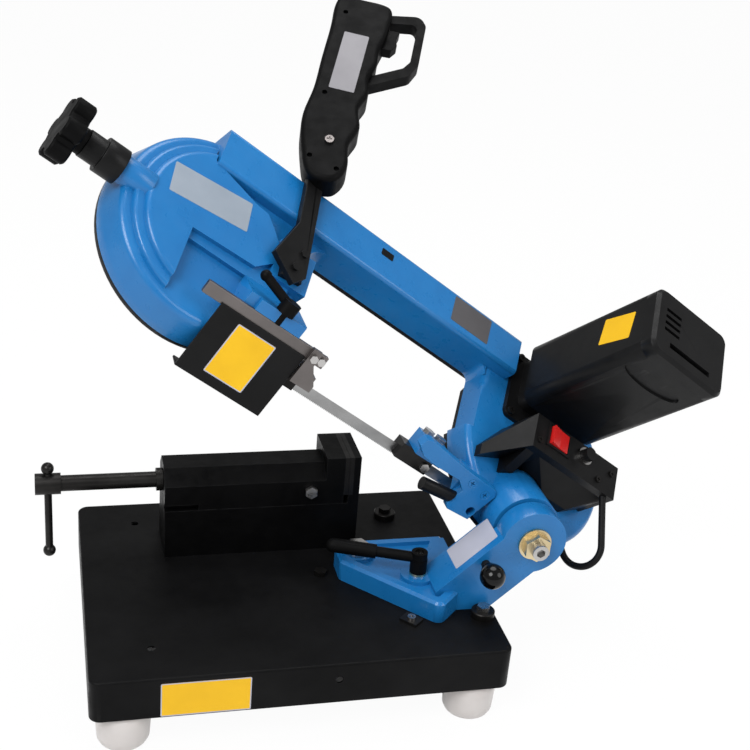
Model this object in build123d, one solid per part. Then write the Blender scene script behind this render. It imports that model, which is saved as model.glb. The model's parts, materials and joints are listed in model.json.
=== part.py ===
"""Portable metal cutting band saw: tray base, vise, swivel arm and raised saw bow."""
import os
from math import atan2, cos, degrees, hypot, radians, sin, sqrt, tan

from build123d import *

# Drawn in mm with the origin on the floor under the tray centre, X right, Y back, Z up.
# The last step moves the whole saw so that the origin lies under the middle of its bounding box.

# Gaps
RUN = 0.05          # radial gap of a turning fit
SLIDE = 0.25        # gap between faces that slide past each other
THREAD_GAP = 0.05   # radial gap of a screw in its hole

# Tray and feet
TRAY_W, TRAY_D, TRAY_H = 440.0, 345.0, 47.0
TRAY_CORNER = 12.0
SHEET = 2.5
FLANGE_W = 16.0
CORNER_PLATE = 78.0
FOOT_R, FOOT_H = 28.5, 43.0
FOOT_X, FOOT_Y = TRAY_W / 2 - 35.0, TRAY_D / 2 - 29.5
FOOT_RECESS_R, FOOT_RECESS = 9.0, 13.0
TRAY_TOP = FOOT_H + TRAY_H
TRAY_UNDER = TRAY_TOP - SHEET
BENCH_HOLE_R, BENCH_X = 4.5, 64.5 - TRAY_W / 2
BENCH_Y = (TRAY_D / 2 - 46.5, 52.0 - TRAY_D / 2)
SKIRT_HOLE = (32.0, TRAY_TOP - 19.0, 4.0)

# Metric fasteners: radius, across flats, head height
M8 = (4.0, 13.0, 5.3)
M6 = (3.0, 10.0, 4.0)
M5 = (2.5, 8.0, 3.5)

# Vise
VISE_Y0, VISE_Y1 = 47.5, 110.5
VISE_Y = (VISE_Y0 + VISE_Y1) / 2
BED_X0, BED_X1, BED_TOP = -128.0, 95.0, TRAY_TOP + 60.0
BED_WALL, BED_ROOF, BED_END = 10.0, 12.0, 26.0
RAIL_X1, RAIL_H, RAIL_FOOT, RAIL_HEAD = 78.0, 9.0, 22.0, 32.0
JAW_FACE_X, JAW_PLATE, JAW_TOP = 82.0, 5.0, BED_TOP + 59.0
JAW_LOW = BED_TOP + RAIL_H + 2.0
JAW_STEP = 56.0
SLIDE_TOP, SLIDE_CHAMFER = BED_TOP + 47.0, 16.0
SLIDE_X0, SLIDE_WALL = -128.0, 16.0
CAVITY_HALF, CAVITY_TOP, CAVITY_X1 = 16.5, SLIDE_TOP - 7.0, 50.0
SCREW_Z, SCREW_R, SCREW_HEAD_R = BED_TOP + 25.0, 9.0, 12.0
SCREW_X0, SCREW_X1, SCREW_HEAD_L = -268.0, 44.0, 28.0
COLLAR_R, COLLAR_L = 13.0, 7.0
NUT_X0, NUT_X1, NUT_HALF, NUT_TOP = -104.0, -78.0, 13.0, SCREW_Z + 13.0
SPIGOT_R, SPIGOT_L = 8.0, 10.0
TBAR_X, TBAR_R, TBAR_L, TBAR_BALL = -254.0, 4.2, 105.0, 7.0
GIB_BOLT = (38.0, BED_TOP + 18.0)

# Mitre joint of the arm on the tray
PIVOT_X, PIVOT_R = 86.0, 8.0
FOOT_THICK = 24.8
ARM_LIFT = 0.2
ARM_FLOOR = TRAY_TOP + ARM_LIFT
ARM_TOP = ARM_FLOOR + FOOT_THICK
CLAMP_X, CLAMP_Y, CLAMP_R = 143.0, -52.5, 5.0
CLAMP_SWING = 45.0
LEVER_TIP = (51.0, -24.5)
CLAMP_WASHER, CLAMP_HUB_R = 2.5, 9.5
STOP_R, STOP_H = 13.0, 8.0
FRONT_STOP = (205.0, -105.9)
BACK_STOP = (146.5, 111.6)
SPARE_BOLT = (43.4, -5.3)
ZERO_PLATE = (124.0, -106.0, 21.0, 16.0, 3.0)

# Swivel arm
HINGE_X, HINGE_Z = 259.5, TRAY_TOP + 80.5
ARM_Y0, ARM_Y1, CHEEK_Y1 = -92.5, -42.0, -66.5
BEAM_ANGLE, BEAM_HALF, BOSS_R = 42.0, 30.0, 37.0
PIN_R = 9.0
LUG_R, LUG_Y0, LUG_Y1 = 39.0, -62.0, 6.0
LUG_ROOM = 4.0
PIN_Y0, PIN_Y1 = -114.0, -28.0
HINGE_WASHER_R, HINGE_WASHER_T = 18.5, 3.0
LOCK_X, LOCK_Z, LOCK_R = 206.0, HINGE_Z - 22.5, 5.0
LOCK_TIP_Y, LOCK_BALL_Y, LOCK_BALL_R = -37.0, -117.5, 14.0
LOCK_NECK, LOCK_TRAVEL = 1.0, 9.0

# Bow: B frame lies on the blade, W frame on the wheels
RAISED = 35.0
LOWEST = 2.0        # the bow stops this far above level
TILT = 50.0
BLADE_X, BLADE_Z = 265.5, HINGE_Z - 20.0
IDLER_X, DRIVE_X = -462.0, 11.0
BAND_R, BAND_W, BAND_T = 82.0, 13.0, 0.65
WHEEL_R = BAND_R - BAND_T / 2 - 0.275
TWIST_RUN = (30.0, 132.0)
TOOTH_PITCH, TOOTH_H = 2.2, 1.1
DRUM_BACK, DRUM_WALL = -4.0, 12.5
IDLER_DRAFT, DRIVE_DRAFT = 11.0, 2.0
IDLER_DRUM_R, DRIVE_DRUM_R = 115.5, 110.0
IDLER_FACE, DRIVE_FACE, PLATE_BACK = 34.0, 30.0, 24.0
PLATEAU_R, PLATEAU_TOP = 88.0, 46.0
TERRACE_R, TERRACE_TOP = 98.0, 40.0
STEP_X, TERRACE_CUT = -30.0, -29.5      # from the idler axis
VALLEY = [(-33, 70), (25, 53), (42, 51), (53, 40), (68, 22), (160, -9), (160, 160), (-33, 160)]
STEP = [(STEP_X, -20), (48, -17), (66, 0), (160, 34), (160, -160), (STEP_X, -160)]
PILLAR_X, PILLAR_Y0, PILLAR_WALL = -88.0, -18.0, 6.0
TUBE_Y0, TUBE_Y1, TUBE_FACE = 66.0, 116.0, 50.0
TUBE_X0, TUBE_X1, TUBE_WALL = -493.0, -59.0, 6.0
THROAT_R, PILLAR_THROAT_R = 28.0, 10.0
COVER_BACK, COVER_T = -12.0, 1.5
POST_INSET, POST_R = 18.5, 5.0
WINDOW_NEAR, WINDOW_FAR, WINDOW_Y0, WINDOW_Y1 = 50.0, 125.0, -96.0, -68.0
WHEEL_HALF, HUB_BACK, HUB_FRONT = 7.0, -7.5, 10.0
IDLER_POSTS = (135.0, 205.0, 270.0)
DRIVE_POSTS = (25.0, 325.0, 262.0)

# Blade tension
CARRIAGE_X0, CARRIAGE_X1, CARRIAGE_HALF = IDLER_X - 22.0, IDLER_X + 22.0, 13.0
CARRIAGE_BACK, CARRIAGE_FRONT, NECK_HALF = 19.0, 41.0, 9.6
POCKET_X0, POCKET_X1 = CARRIAGE_X0 - 2.0, CARRIAGE_X1 + 20.0
CARRIAGE_STEP = 28.0
AXLE_R, AXLE_HEAD_R = 6.0, 10.0
TENSION_Z, TENSION_R = 34.0, 5.0
SLEEVE_X0, SLEEVE_X1, SLEEVE_STEP = IDLER_X - 160.0, IDLER_X - 117.0, IDLER_X - 141.0
SLEEVE_R, SLEEVE_NECK_R = 19.0, 15.0
KNOB_X0, KNOB_X1, KNOB_R, KNOB_LOBES = IDLER_X - 189.0, IDLER_X - 168.0, 36.0, 6

# Drive
GEAR_MODULE, GEAR_TEETH, PINION_TEETH = 2.0, 60, 14
GEAR_CENTRES = GEAR_MODULE * (GEAR_TEETH + PINION_TEETH) / 2
MOTOR_X, MOTOR_Y = DRIVE_X, GEAR_CENTRES
MESH_ANGLE = 90.0
GEAR_Z0, GEAR_Z1 = 9.2, 18.8
DRIVE_AXLE_R = 10.0
MOTOR_PLATE_W, MOTOR_PLATE_H, MOTOR_PLATE_DROP, MOTOR_PLATE_T = 126.0, 90.0, 9.0, 6.0
MOTOR_SEAT = 10.0
NECK_W, NECK_H = 96.0, 70.0
MOTOR_CAP, CAP_DEPTH = 252.0, 18.0
MOTOR_Z0, MOTOR_Z1 = 58.0, MOTOR_CAP - CAP_DEPTH
MOTOR_W, MOTOR_H, MOTOR_WALL, MOTOR_CORNER = 116.0, 86.0, 4.0, 14.0
POCKET_HALF_X, POCKET_HALF_Z, POCKET_DEPTH = 42.0, 13.0, 2.5
VENT_PITCH = 8.5
SHAFT_R, PINION_HOLE_R = 5.0, 16.0
SPIGOT_GEAR_R = 22.0

# Switch box
BOX_TOP, BOX_WALL = 85.0, 2.5
BOX_X0, BOX_X0_TOP, BOX_X1 = -78.0, -42.0, 92.0
BOX_Y0, BOX_Y1, BOX_SPLIT = -36.0, 8.0, 44.0
BOX_END_Y0, BOX_END_Y1, BOX_END_TOP = -53.0, -39.0, 40.0     # low left end of the box
BOX_BULGE_Y, BOX_BULGE_TOP = -54.0, 42.0
BOX_BULGE_LEFT = [(-30, -32), (34, -60), (-30, -60)]
BOX_BULGE_RIGHT = [(56, -56), (94, -31), (94, -60), (56, -60)]
ROCKER = (-6.0, -9.0, 30.0, 24.0)
ROCKER_ROOM = 1.0
ROCKER_PIN_R, ROCKER_PIN_Z, ROCKER_EAR = 1.6, BOX_TOP - 6.0, 3.0
GLAND, GLAND_R = (35.0, -8.0), 6.0
LEAD_R = 4.0
LEAD_BENDS = (24.0, 24.0)

# Handle, in its own frame on the bow
HANDLE_X, HANDLE_Y, HANDLE_LEAN = -372.0, -5.0, 7.0
STEM_Z0, STEM_Z1, STEM_HALF, STEM_TOP = 52.0, 60.0, 10.0, 158.0
GRIP_HALF_T, GRIP_MID, GRIP_TURN = 18.0, 60.0, 32.0
GRIP_ROUND, LOOP_HALF_T = 6.0, 8.0
LOOP_ROUND, LOOP_INNER_ROUND = 11.0, 6.0
TRIGGER_Y0, TRIGGER_Y1, TRIGGER_HALF = 320.0, 351.0, 7.0

# Blade guides, in the blade frame
BAR_X0, BAR_X1, BAR_K0, BAR_K1, BAR_H0, BAR_H1 = -463.0, -312.0, -41.0, -35.0, 39.0, 53.0
GUARD_X0, GUARD_X1, GUARD_H0, GUARD_LAP = -440.0, -335.0, -38.0, 2.5
GUARD_T = 2.0
GUIDE_SLOT = BAND_T / 2 + 0.2
GUIDE_BOLT_TIP = 9.0
IDLER_GUIDE_X0, IDLER_GUIDE_X1, IDLER_BOLT_X = -330.0, -310.0, -320.0
DRIVE_GUIDE_X0, DRIVE_GUIDE_X1 = -165.0, -120.5
DRIVE_BOLTS = (-144.0, -127.0)
SIDE_BOLT_X, SIDE_BOLT_H = -127.0, 3.0
SEAT_X0, SEAT_X1, SEAT_H0, SEAT_H1 = -420.0, -350.0, 33.0, 66.0
CLAMP_SCREW_X = -380.0
HEAD_X0, HEAD_X1, HEAD_T, HEAD_H0, HEAD_H1, HEAD_ARM_H1 = -334.0, -309.0, 6.0, 13.0, 55.0, 28.0
HEAD_TOP_X = -323.0
GUIDE_HALF, GUIDE_LOW, DRIVE_GUIDE_TOP = 11.0, -5.0, 14.0
BRACKET_K0, BRACKET_K1, BRACKET_ARM_H1 = -36.0, -22.0, 34.0
BRACKET_SHAPE = [(-162, 28), (-159, 38), (-152, 40), (-98, 34), (-50, 31), (-46, 25), (-55, -14), (-85, -16),
                 (-90, -10), (-84, 11), (-96, 19), (-130, 18), (-150, 20)]
BRACKET_RIGHT = -45.0
BRACKET_HEAD_R, BRACKET_HEAD = 5.0, 6.0

BLADE_FRAME = Pos(BLADE_X, 0, BLADE_Z)
WHEEL_FRAME = Plane(
    origin=(BLADE_X, BAND_R * sin(radians(TILT)), BLADE_Z + BAND_R * cos(radians(TILT))),
    x_dir=(1, 0, 0),
    z_dir=(0, -cos(radians(TILT)), sin(radians(TILT))),
).location
RAISE = Pos(HINGE_X, 0, HINGE_Z) * Rot(0, RAISED, 0) * Pos(-HINGE_X, 0, -HINGE_Z)
HANDLE_FRAME = WHEEL_FRAME * Pos(HANDLE_X, HANDLE_Y, 0) * Rot(0, 0, HANDLE_LEAN)
GRIP_FRAME = HANDLE_FRAME * Pos(0, 0, GRIP_MID) * Rot(0, -GRIP_TURN, 0)


def block(x0, x1, y0, y1, z0, z1):
    """Box between two corners."""
    middle = Pos((x0 + x1) / 2, (y0 + y1) / 2, (z0 + z1) / 2)
    return middle * Box(x1 - x0, y1 - y0, z1 - z0)


def rod(radius, start, end):
    """Round bar from one point to another."""
    axis = Vector(*end) - Vector(*start)
    place = Plane(origin=start, z_dir=axis)
    return place * extrude(Circle(radius), axis.length)


def tube(outer, inner, start, end):
    """Round bar with a bore right through."""
    return rod(outer, start, end) - rod(inner, start, end)


def hexagon(across, start, end):
    """Hexagonal bar from one point to another."""
    axis = Vector(*end) - Vector(*start)
    place = Plane(origin=start, z_dir=axis)
    return place * extrude(RegularPolygon(across / 2, 6, major_radius=False), axis.length)


def prism(points, z0, z1):
    """Outline in the XY plane pulled from one height to another."""
    face = make_face(Polyline(*points, close=True))
    return Pos(0, 0, z0) * extrude(face, z1 - z0)


def side_prism(points, y0, y1):
    """Outline in the XZ plane pulled from one depth to another."""
    face = make_face(Plane.XZ * Polyline(*points, close=True))
    return Pos(0, y1, 0) * extrude(face, y1 - y0, dir=(0, -1, 0))


def group(*pieces):
    """Separate solids that share one node."""
    return Compound([solid for piece in pieces for solid in piece.solids()])


def fuse(pieces):
    """Union of several overlapping solids."""
    whole = pieces[0]
    for piece in pieces[1:]:
        whole = whole + piece
    return whole


def bolt(size, seat, direction, length):
    """Hexagon bolt whose head sits on the seat point and whose shank runs along the direction."""
    radius, across, head = size
    way = Vector(*direction)
    seat_point = Vector(*seat)
    top = seat_point - way * head
    tip = seat_point + way * length
    return hexagon(across, tuple(top), tuple(seat_point)) + rod(radius, tuple(seat_point), tuple(tip))


def pan_screw(radius, head_r, head_h, seat, direction, length):
    """Round headed screw with a cross recess."""
    way = Vector(*direction)
    seat_point = Vector(*seat)
    top = seat_point - way * head_h
    head = rod(head_r, tuple(top), tuple(seat_point))
    reach, slot = 1.2 * head_r, 0.28 * head_r
    cross = Box(reach, slot, head_h) + Box(slot, reach, head_h)
    head = head - Plane(origin=tuple(top), z_dir=tuple(way)) * cross
    return head + rod(radius, tuple(seat_point), tuple(seat_point + way * length))


def hex_nut(size, start, end):
    """Nut with a plain bore."""
    radius, across, _ = size
    return hexagon(across, start, end) - rod(radius + THREAD_GAP, start, end)


# Base

def foot_places():
    return [(sx * FOOT_X, sy * FOOT_Y) for sx in (-1, 1) for sy in (-1, 1)]


def vise_bolt_places():
    inset = BED_END / 2
    rows = (VISE_Y0 + 14.0, VISE_Y1 - 14.0)
    return [(x, y) for x in (BED_X0 + inset, BED_X1 - inset) for y in rows]


def clamp_slot():
    """Arc slot that the clamp stud sweeps."""
    arm = hypot(CLAMP_X - PIVOT_X, CLAMP_Y)
    start = degrees(atan2(CLAMP_Y, CLAMP_X - PIVOT_X))
    spare = 1.0
    arc = CenterArc((PIVOT_X, 0), arm, start - spare, CLAMP_SWING + 2 * spare)
    slot = SlotArc(arc, 2 * (CLAMP_R + 0.5))
    return Pos(0, 0, TRAY_UNDER - 1) * extrude(slot, SHEET + 2)


def base_tray():
    """Folded sheet tray with skirts, bottom flange and corner plates."""
    outline = RectangleRounded(TRAY_W, TRAY_D, TRAY_CORNER)
    outer = Pos(0, 0, FOOT_H) * extrude(outline, TRAY_H)
    outer = fillet(outer.edges().group_by(Axis.Z)[-1], SHEET)
    inside = RectangleRounded(TRAY_W - 2 * SHEET, TRAY_D - 2 * SHEET, TRAY_CORNER - SHEET)
    room = Pos(0, 0, FOOT_H + SHEET) * extrude(inside, TRAY_H - 2 * SHEET)
    window = Rectangle(TRAY_W - 2 * FLANGE_W, TRAY_D - 2 * FLANGE_W)
    window = Pos(0, 0, FOOT_H - 1) * extrude(window, SHEET + 2)
    for sx in (-1, 1):
        for sy in (-1, 1):
            corner = Pos(sx * TRAY_W / 2, sy * TRAY_D / 2, FOOT_H)
            window = window - corner * Box(2 * CORNER_PLATE, 2 * CORNER_PLATE, 10)
    tray = outer - room - window
    for x, y in foot_places():
        tray = tray - rod(M8[0] + 0.5, (x, y, FOOT_H - 1), (x, y, FOOT_H + SHEET + 1))
    for y in BENCH_Y:
        tray = tray - rod(BENCH_HOLE_R, (BENCH_X, y, TRAY_UNDER - 1), (BENCH_X, y, TRAY_TOP + 1))
    for x, y in vise_bolt_places() + [FRONT_STOP, BACK_STOP, SPARE_BOLT]:
        tray = tray - rod(M8[0] + 0.3, (x, y, TRAY_UNDER - 1), (x, y, TRAY_TOP + 1))
    tray = tray - rod(PIVOT_R + RUN, (PIVOT_X, 0, TRAY_UNDER - 1), (PIVOT_X, 0, TRAY_TOP + 1))
    x, y = ZERO_PLATE[:2]
    tray = tray - rod(M5[0] + THREAD_GAP, (x, y, TRAY_UNDER - 1), (x, y, TRAY_TOP + 1))
    hole_x, hole_z, hole_r = SKIRT_HOLE
    tray = tray - rod(hole_r, (hole_x, -TRAY_D / 2 - 1, hole_z), (hole_x, -TRAY_D / 2 + SHEET + 1, hole_z))
    return tray - clamp_slot()


def feet():
    """Four moulded feet, waisted, with a recess for the screw head."""
    pieces = []
    for x, y in foot_places():
        profile = Polyline(
            (0, 0), (FOOT_R - 4, 0), (FOOT_R - 1.5, 5), (FOOT_R, FOOT_H - 14), (FOOT_R, FOOT_H - 6),
            (FOOT_R - 3, FOOT_H), (0, FOOT_H), close=True)
        foot = revolve(make_face(Plane.XZ * profile), Axis.Z)
        foot = foot - rod(M8[0] + 0.3, (0, 0, -1), (0, 0, FOOT_H + 1))
        foot = foot - rod(FOOT_RECESS_R, (0, 0, -1), (0, 0, FOOT_RECESS))
        pieces.append(Pos(x, y, 0) * foot)
    return group(*pieces)


def foot_screws():
    head_h = 5.0
    length = FOOT_H - FOOT_RECESS + SHEET + 12
    return group(*[
        pan_screw(M8[0], FOOT_RECESS_R - 1, head_h, (x, y, FOOT_RECESS), (0, 0, 1), length)
        for x, y in foot_places()])


def base_nuts():
    """Nuts of the feet, stops, spare bolt and mitre pivot."""
    low = FOOT_H + SHEET
    nuts = [hex_nut(M8, (x, y, low), (x, y, low + 6.5)) for x, y in foot_places()]
    for x, y in (FRONT_STOP, BACK_STOP, SPARE_BOLT):
        nuts.append(hex_nut(M8, (x, y, TRAY_UNDER - 6.5), (x, y, TRAY_UNDER)))
    pivot_size = (PIVOT_R, 24.0, 0)
    nuts.append(hex_nut(pivot_size, (PIVOT_X, 0, TRAY_UNDER - 13), (PIVOT_X, 0, TRAY_UNDER)))
    return group(*nuts)


def base_bolts():
    """Bolts of the stops, the vise bed, the fixed jaw and the zero plate, and the spare bolt."""
    long = STOP_H + SHEET + 9
    bolts = [bolt(M8, (x, y, TRAY_TOP + STOP_H), (0, 0, -1), long) for x, y in (FRONT_STOP, BACK_STOP)]
    bolts.append(bolt(M8, (*SPARE_BOLT, TRAY_TOP), (0, 0, -1), SHEET + 9))
    bolts.extend(bolt(M8, (x, y, TRAY_UNDER), (0, 0, 1), SHEET + 22) for x, y in vise_bolt_places())
    x, y, _, _, t = ZERO_PLATE
    bolts.append(pan_screw(M5[0], 4.5, 3.0, (x, y, TRAY_TOP + t), (0, 0, -1), t + SHEET + 6))
    return group(*bolts, *jaw_screws(JAW_FACE_X, 1))


def mitre_pivot():
    """Shoulder bolt that the arm swings on, with its washer face above the arm foot."""
    seat = ARM_TOP + ARM_LIFT
    return (rod(PIVOT_R, (PIVOT_X, 0, TRAY_UNDER - 14), (PIVOT_X, 0, seat))
            + rod(15.0, (PIVOT_X, 0, seat), (PIVOT_X, 0, seat + 3))
            + hexagon(22.0, (PIVOT_X, 0, seat + 3), (PIVOT_X, 0, seat + 9)))


def mitre_stops():
    """Stop discs for the straight and the mitre cut, and the small zero plate."""
    discs = [zero_plate()]
    for x, y in (FRONT_STOP, BACK_STOP):
        disc = Pos(x, y, TRAY_TOP) * extrude(Circle(STOP_R), STOP_H)
        disc = chamfer(disc.edges().group_by(Axis.Z)[-1], 1.0)
        discs.append(disc - rod(M8[0] + 0.2, (x, y, TRAY_TOP - 1), (x, y, TRAY_TOP + STOP_H + 1)))
    return group(*discs)


def zero_plate():
    """Small stop plate beside the front edge of the arm foot."""
    x, y, w, d, t = ZERO_PLATE
    plate = Pos(x, y, TRAY_TOP + t / 2) * Rot(0, 0, -47.5) * Box(w, d, t)
    return plate - rod(M5[0] + 0.2, (x, y, TRAY_TOP - 1), (x, y, TRAY_TOP + t + 1))


# Vise

def rail_outline(gap):
    """Dovetail cross section in Y and Z, widened by a gap."""
    foot = RAIL_FOOT / 2 + gap
    head = RAIL_HEAD / 2 + gap
    top = BED_TOP + RAIL_H + gap
    return [(VISE_Y - foot, BED_TOP), (VISE_Y - head, top), (VISE_Y + head, top), (VISE_Y + foot, BED_TOP)]


def long_prism(points, x0, x1):
    """Outline in the YZ plane pulled along X."""
    face = make_face(Plane.YZ * Polyline(*points, close=True))
    return Pos(x0, 0, 0) * extrude(face, x1 - x0, dir=(1, 0, 0))


def vise_bed():
    """Cast bed with dovetail rail and the fixed jaw."""
    bed = block(BED_X0, BED_X1, VISE_Y0, VISE_Y1, TRAY_TOP, BED_TOP)
    bed = bed - block(BED_X0 + BED_END, BED_X1 - BED_END, VISE_Y0 + BED_WALL, VISE_Y1 - BED_WALL,
                      TRAY_TOP - 1, BED_TOP - BED_ROOF)
    bed = bed + long_prism(rail_outline(0), BED_X0, RAIL_X1)
    jaw_back = JAW_FACE_X + JAW_PLATE
    bed = bed + block(jaw_back, BED_X1, VISE_Y0, VISE_Y1, BED_TOP - 1, JAW_TOP)
    bed = bed + block(JAW_FACE_X, BED_X1, VISE_Y0, VISE_Y1, BED_TOP - 1, JAW_LOW)
    for x, y in vise_bolt_places():
        bed = bed - rod(M8[0] + THREAD_GAP, (x, y, TRAY_TOP - 1), (x, y, TRAY_TOP + 30))
    nut_x = (NUT_X0 + NUT_X1) / 2
    top = BED_TOP + RAIL_H
    bed = bed - rod(SPIGOT_R, (nut_x, VISE_Y, top - SPIGOT_L), (nut_x, VISE_Y, top + 1))
    for y in jaw_screw_rows():
        z = jaw_screw_z()
        bed = bed - rod(M6[0] + THREAD_GAP, (jaw_back - 1, y, z), (BED_X1 - 1.5, y, z))
    return bed


def vise_nut():
    """Nut post standing on the rail, with a spigot pressed into it."""
    base = BED_TOP + RAIL_H
    middle = (NUT_X0 + NUT_X1) / 2
    post = block(NUT_X0, NUT_X1, VISE_Y - NUT_HALF, VISE_Y + NUT_HALF, base, NUT_TOP)
    post = post + rod(SPIGOT_R, (middle, VISE_Y, base - SPIGOT_L), (middle, VISE_Y, base))
    return post - rod(SCREW_R + 0.3, (NUT_X0 - 1, VISE_Y, SCREW_Z), (NUT_X1 + 1, VISE_Y, SCREW_Z))


def jaw_screw_rows():
    return (VISE_Y0 + 14.0, VISE_Y1 - 14.0)


def jaw_screw_z():
    return JAW_TOP - 16.0


def jaw_plate(face_x, into):
    """Hard jaw plate; its face is at face_x and its back lies towards into."""
    back = face_x + into * JAW_PLATE
    plate = block(min(face_x, back), max(face_x, back), VISE_Y0, VISE_Y1, JAW_LOW, JAW_TOP)
    for y in jaw_screw_rows():
        front = (face_x - into, y, jaw_screw_z())
        plate = plate - rod(M6[0] + 0.2, front, (back + into, y, jaw_screw_z()))
        plate = plate - rod(5.4, front, (face_x + into * 3.4, y, jaw_screw_z()))
    return plate


def jaw_screws(face_x, into):
    """Screws that hold a jaw plate, as a list."""
    depth = BED_X1 - JAW_FACE_X - 8.0
    return [
        pan_screw(M6[0], 5.2, 3.0, (face_x + into * 3.4, y, jaw_screw_z()), (into, 0, 0), depth)
        for y in jaw_screw_rows()]


def fixed_jaw_plate():
    return jaw_plate(JAW_FACE_X, 1)


def moving_jaw_plate():
    return jaw_plate(JAW_FACE_X - SLIDE, -1)


def slide_bolts():
    """Screws of the moving jaw plate and the bolt of the dovetail gib."""
    x, z = GIB_BOLT
    gib = bolt(M8, (x, VISE_Y0, z), (0, 1, 0), 13.0)
    return group(gib, *jaw_screws(JAW_FACE_X - SLIDE, -1))


def vise_slide():
    """Hollow sliding block that carries the moving jaw and the screw."""
    low = BED_TOP + SLIDE
    top_cut = SLIDE_TOP - SLIDE_CHAMFER
    outline = [(VISE_Y0, low), (VISE_Y0, top_cut), (VISE_Y0 + SLIDE_CHAMFER, SLIDE_TOP),
               (VISE_Y1 - SLIDE_CHAMFER, SLIDE_TOP), (VISE_Y1, top_cut), (VISE_Y1, low)]
    body = long_prism(outline, SLIDE_X0, JAW_STEP)
    jaw_back = JAW_FACE_X - SLIDE - JAW_PLATE
    body = body + block(JAW_STEP - 1, jaw_back, VISE_Y0, VISE_Y1, low, JAW_TOP)
    body = body - long_prism(rail_outline(SLIDE), SLIDE_X0 - 1, jaw_back + 1)
    roof = BED_TOP + RAIL_H + SLIDE
    body = body - block(SLIDE_X0 + SLIDE_WALL, CAVITY_X1, VISE_Y - CAVITY_HALF, VISE_Y + CAVITY_HALF,
                        roof - 0.5, CAVITY_TOP)
    wall_end = SLIDE_X0 + SLIDE_WALL + 1
    body = body - rod(SCREW_R + RUN, (SLIDE_X0 - 1, VISE_Y, SCREW_Z), (wall_end, VISE_Y, SCREW_Z))
    body = body - block(SLIDE_X0 - 1, SLIDE_X0 + 38, VISE_Y0 - 1, VISE_Y0 + 8, low - 1, low + 7)
    x, z = GIB_BOLT
    body = body - rod(M8[0] + THREAD_GAP, (x, VISE_Y0 - 1, z), (x, VISE_Y - CAVITY_HALF + 1, z))
    for y in jaw_screw_rows():
        z = jaw_screw_z()
        body = body - rod(M6[0] + THREAD_GAP, (jaw_back - 12, y, z), (jaw_back + 1, y, z))
    return body


def vise_screw():
    """Vise screw with its cross drilled head and outer collar."""
    start = (SCREW_X0, VISE_Y, SCREW_Z)
    screw = rod(SCREW_R, start, (SCREW_X1, VISE_Y, SCREW_Z))
    screw = screw + rod(SCREW_HEAD_R, start, (SCREW_X0 + SCREW_HEAD_L, VISE_Y, SCREW_Z))
    outer = SLIDE_X0 - SLIDE
    screw = screw + rod(COLLAR_R, (outer - COLLAR_L, VISE_Y, SCREW_Z), (outer, VISE_Y, SCREW_Z))
    return screw - rod(TBAR_R + 0.3, (TBAR_X, VISE_Y, SCREW_Z - 20), (TBAR_X, VISE_Y, SCREW_Z + 20))


def screw_collar():
    """Ring that keeps the screw in the sliding block."""
    inner = SLIDE_X0 + SLIDE_WALL + SLIDE
    return tube(COLLAR_R, SCREW_R, (inner, VISE_Y, SCREW_Z), (inner + COLLAR_L, VISE_Y, SCREW_Z))


def tbar_ends():
    top = SCREW_Z + SCREW_HEAD_R + TBAR_BALL + 0.3
    return (TBAR_X, VISE_Y, top), (TBAR_X, VISE_Y, top - TBAR_L)


def tbar():
    """Cross bar with a ball pressed on each end."""
    high, low = tbar_ends()
    pieces = [rod(TBAR_R, low, high)]
    for centre, way in ((high, -1), (low, 1)):
        ball = Pos(*centre) * Sphere(TBAR_BALL)
        pieces.append(ball - rod(TBAR_R, centre, (centre[0], centre[1], centre[2] + way * 20)))
    return group(*pieces)


# Swivel arm

def foot_outline():
    """Plan of the arm foot; the slanting front edge meets the front stop."""
    corners = [(62, 23), (191, 23), (191, -80), (153, -118), (62, -18.5)]
    face = make_face(Polyline(*corners, close=True))
    left_back = face.vertices().sort_by_distance((62, 23))[0]
    face = fillet(left_back, 14)
    front = face.vertices().sort_by_distance((153, -118))[0]
    face = fillet(front, 9)
    left_front = face.vertices().sort_by_distance((62, -18.5))[0]
    return fillet(left_front, 8)


def beam_outline():
    """Side view of the rising beam as X, Z points."""
    way = (cos(radians(BEAM_ANGLE)), sin(radians(BEAM_ANGLE)))
    up = (-way[1] * BEAM_HALF, way[0] * BEAM_HALF)
    high = (HINGE_X + up[0], HINGE_Z + up[1])
    low = (HINGE_X - up[0], HINGE_Z - up[1])
    slope = way[0] / way[1]
    start_top = (high[0] - (high[1] - ARM_TOP) * slope, ARM_TOP)
    start_low = (low[0] - (low[1] - ARM_FLOOR) * slope, ARM_FLOOR)
    return [start_top, high, low, start_low, (start_top[0], ARM_FLOOR)]


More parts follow.
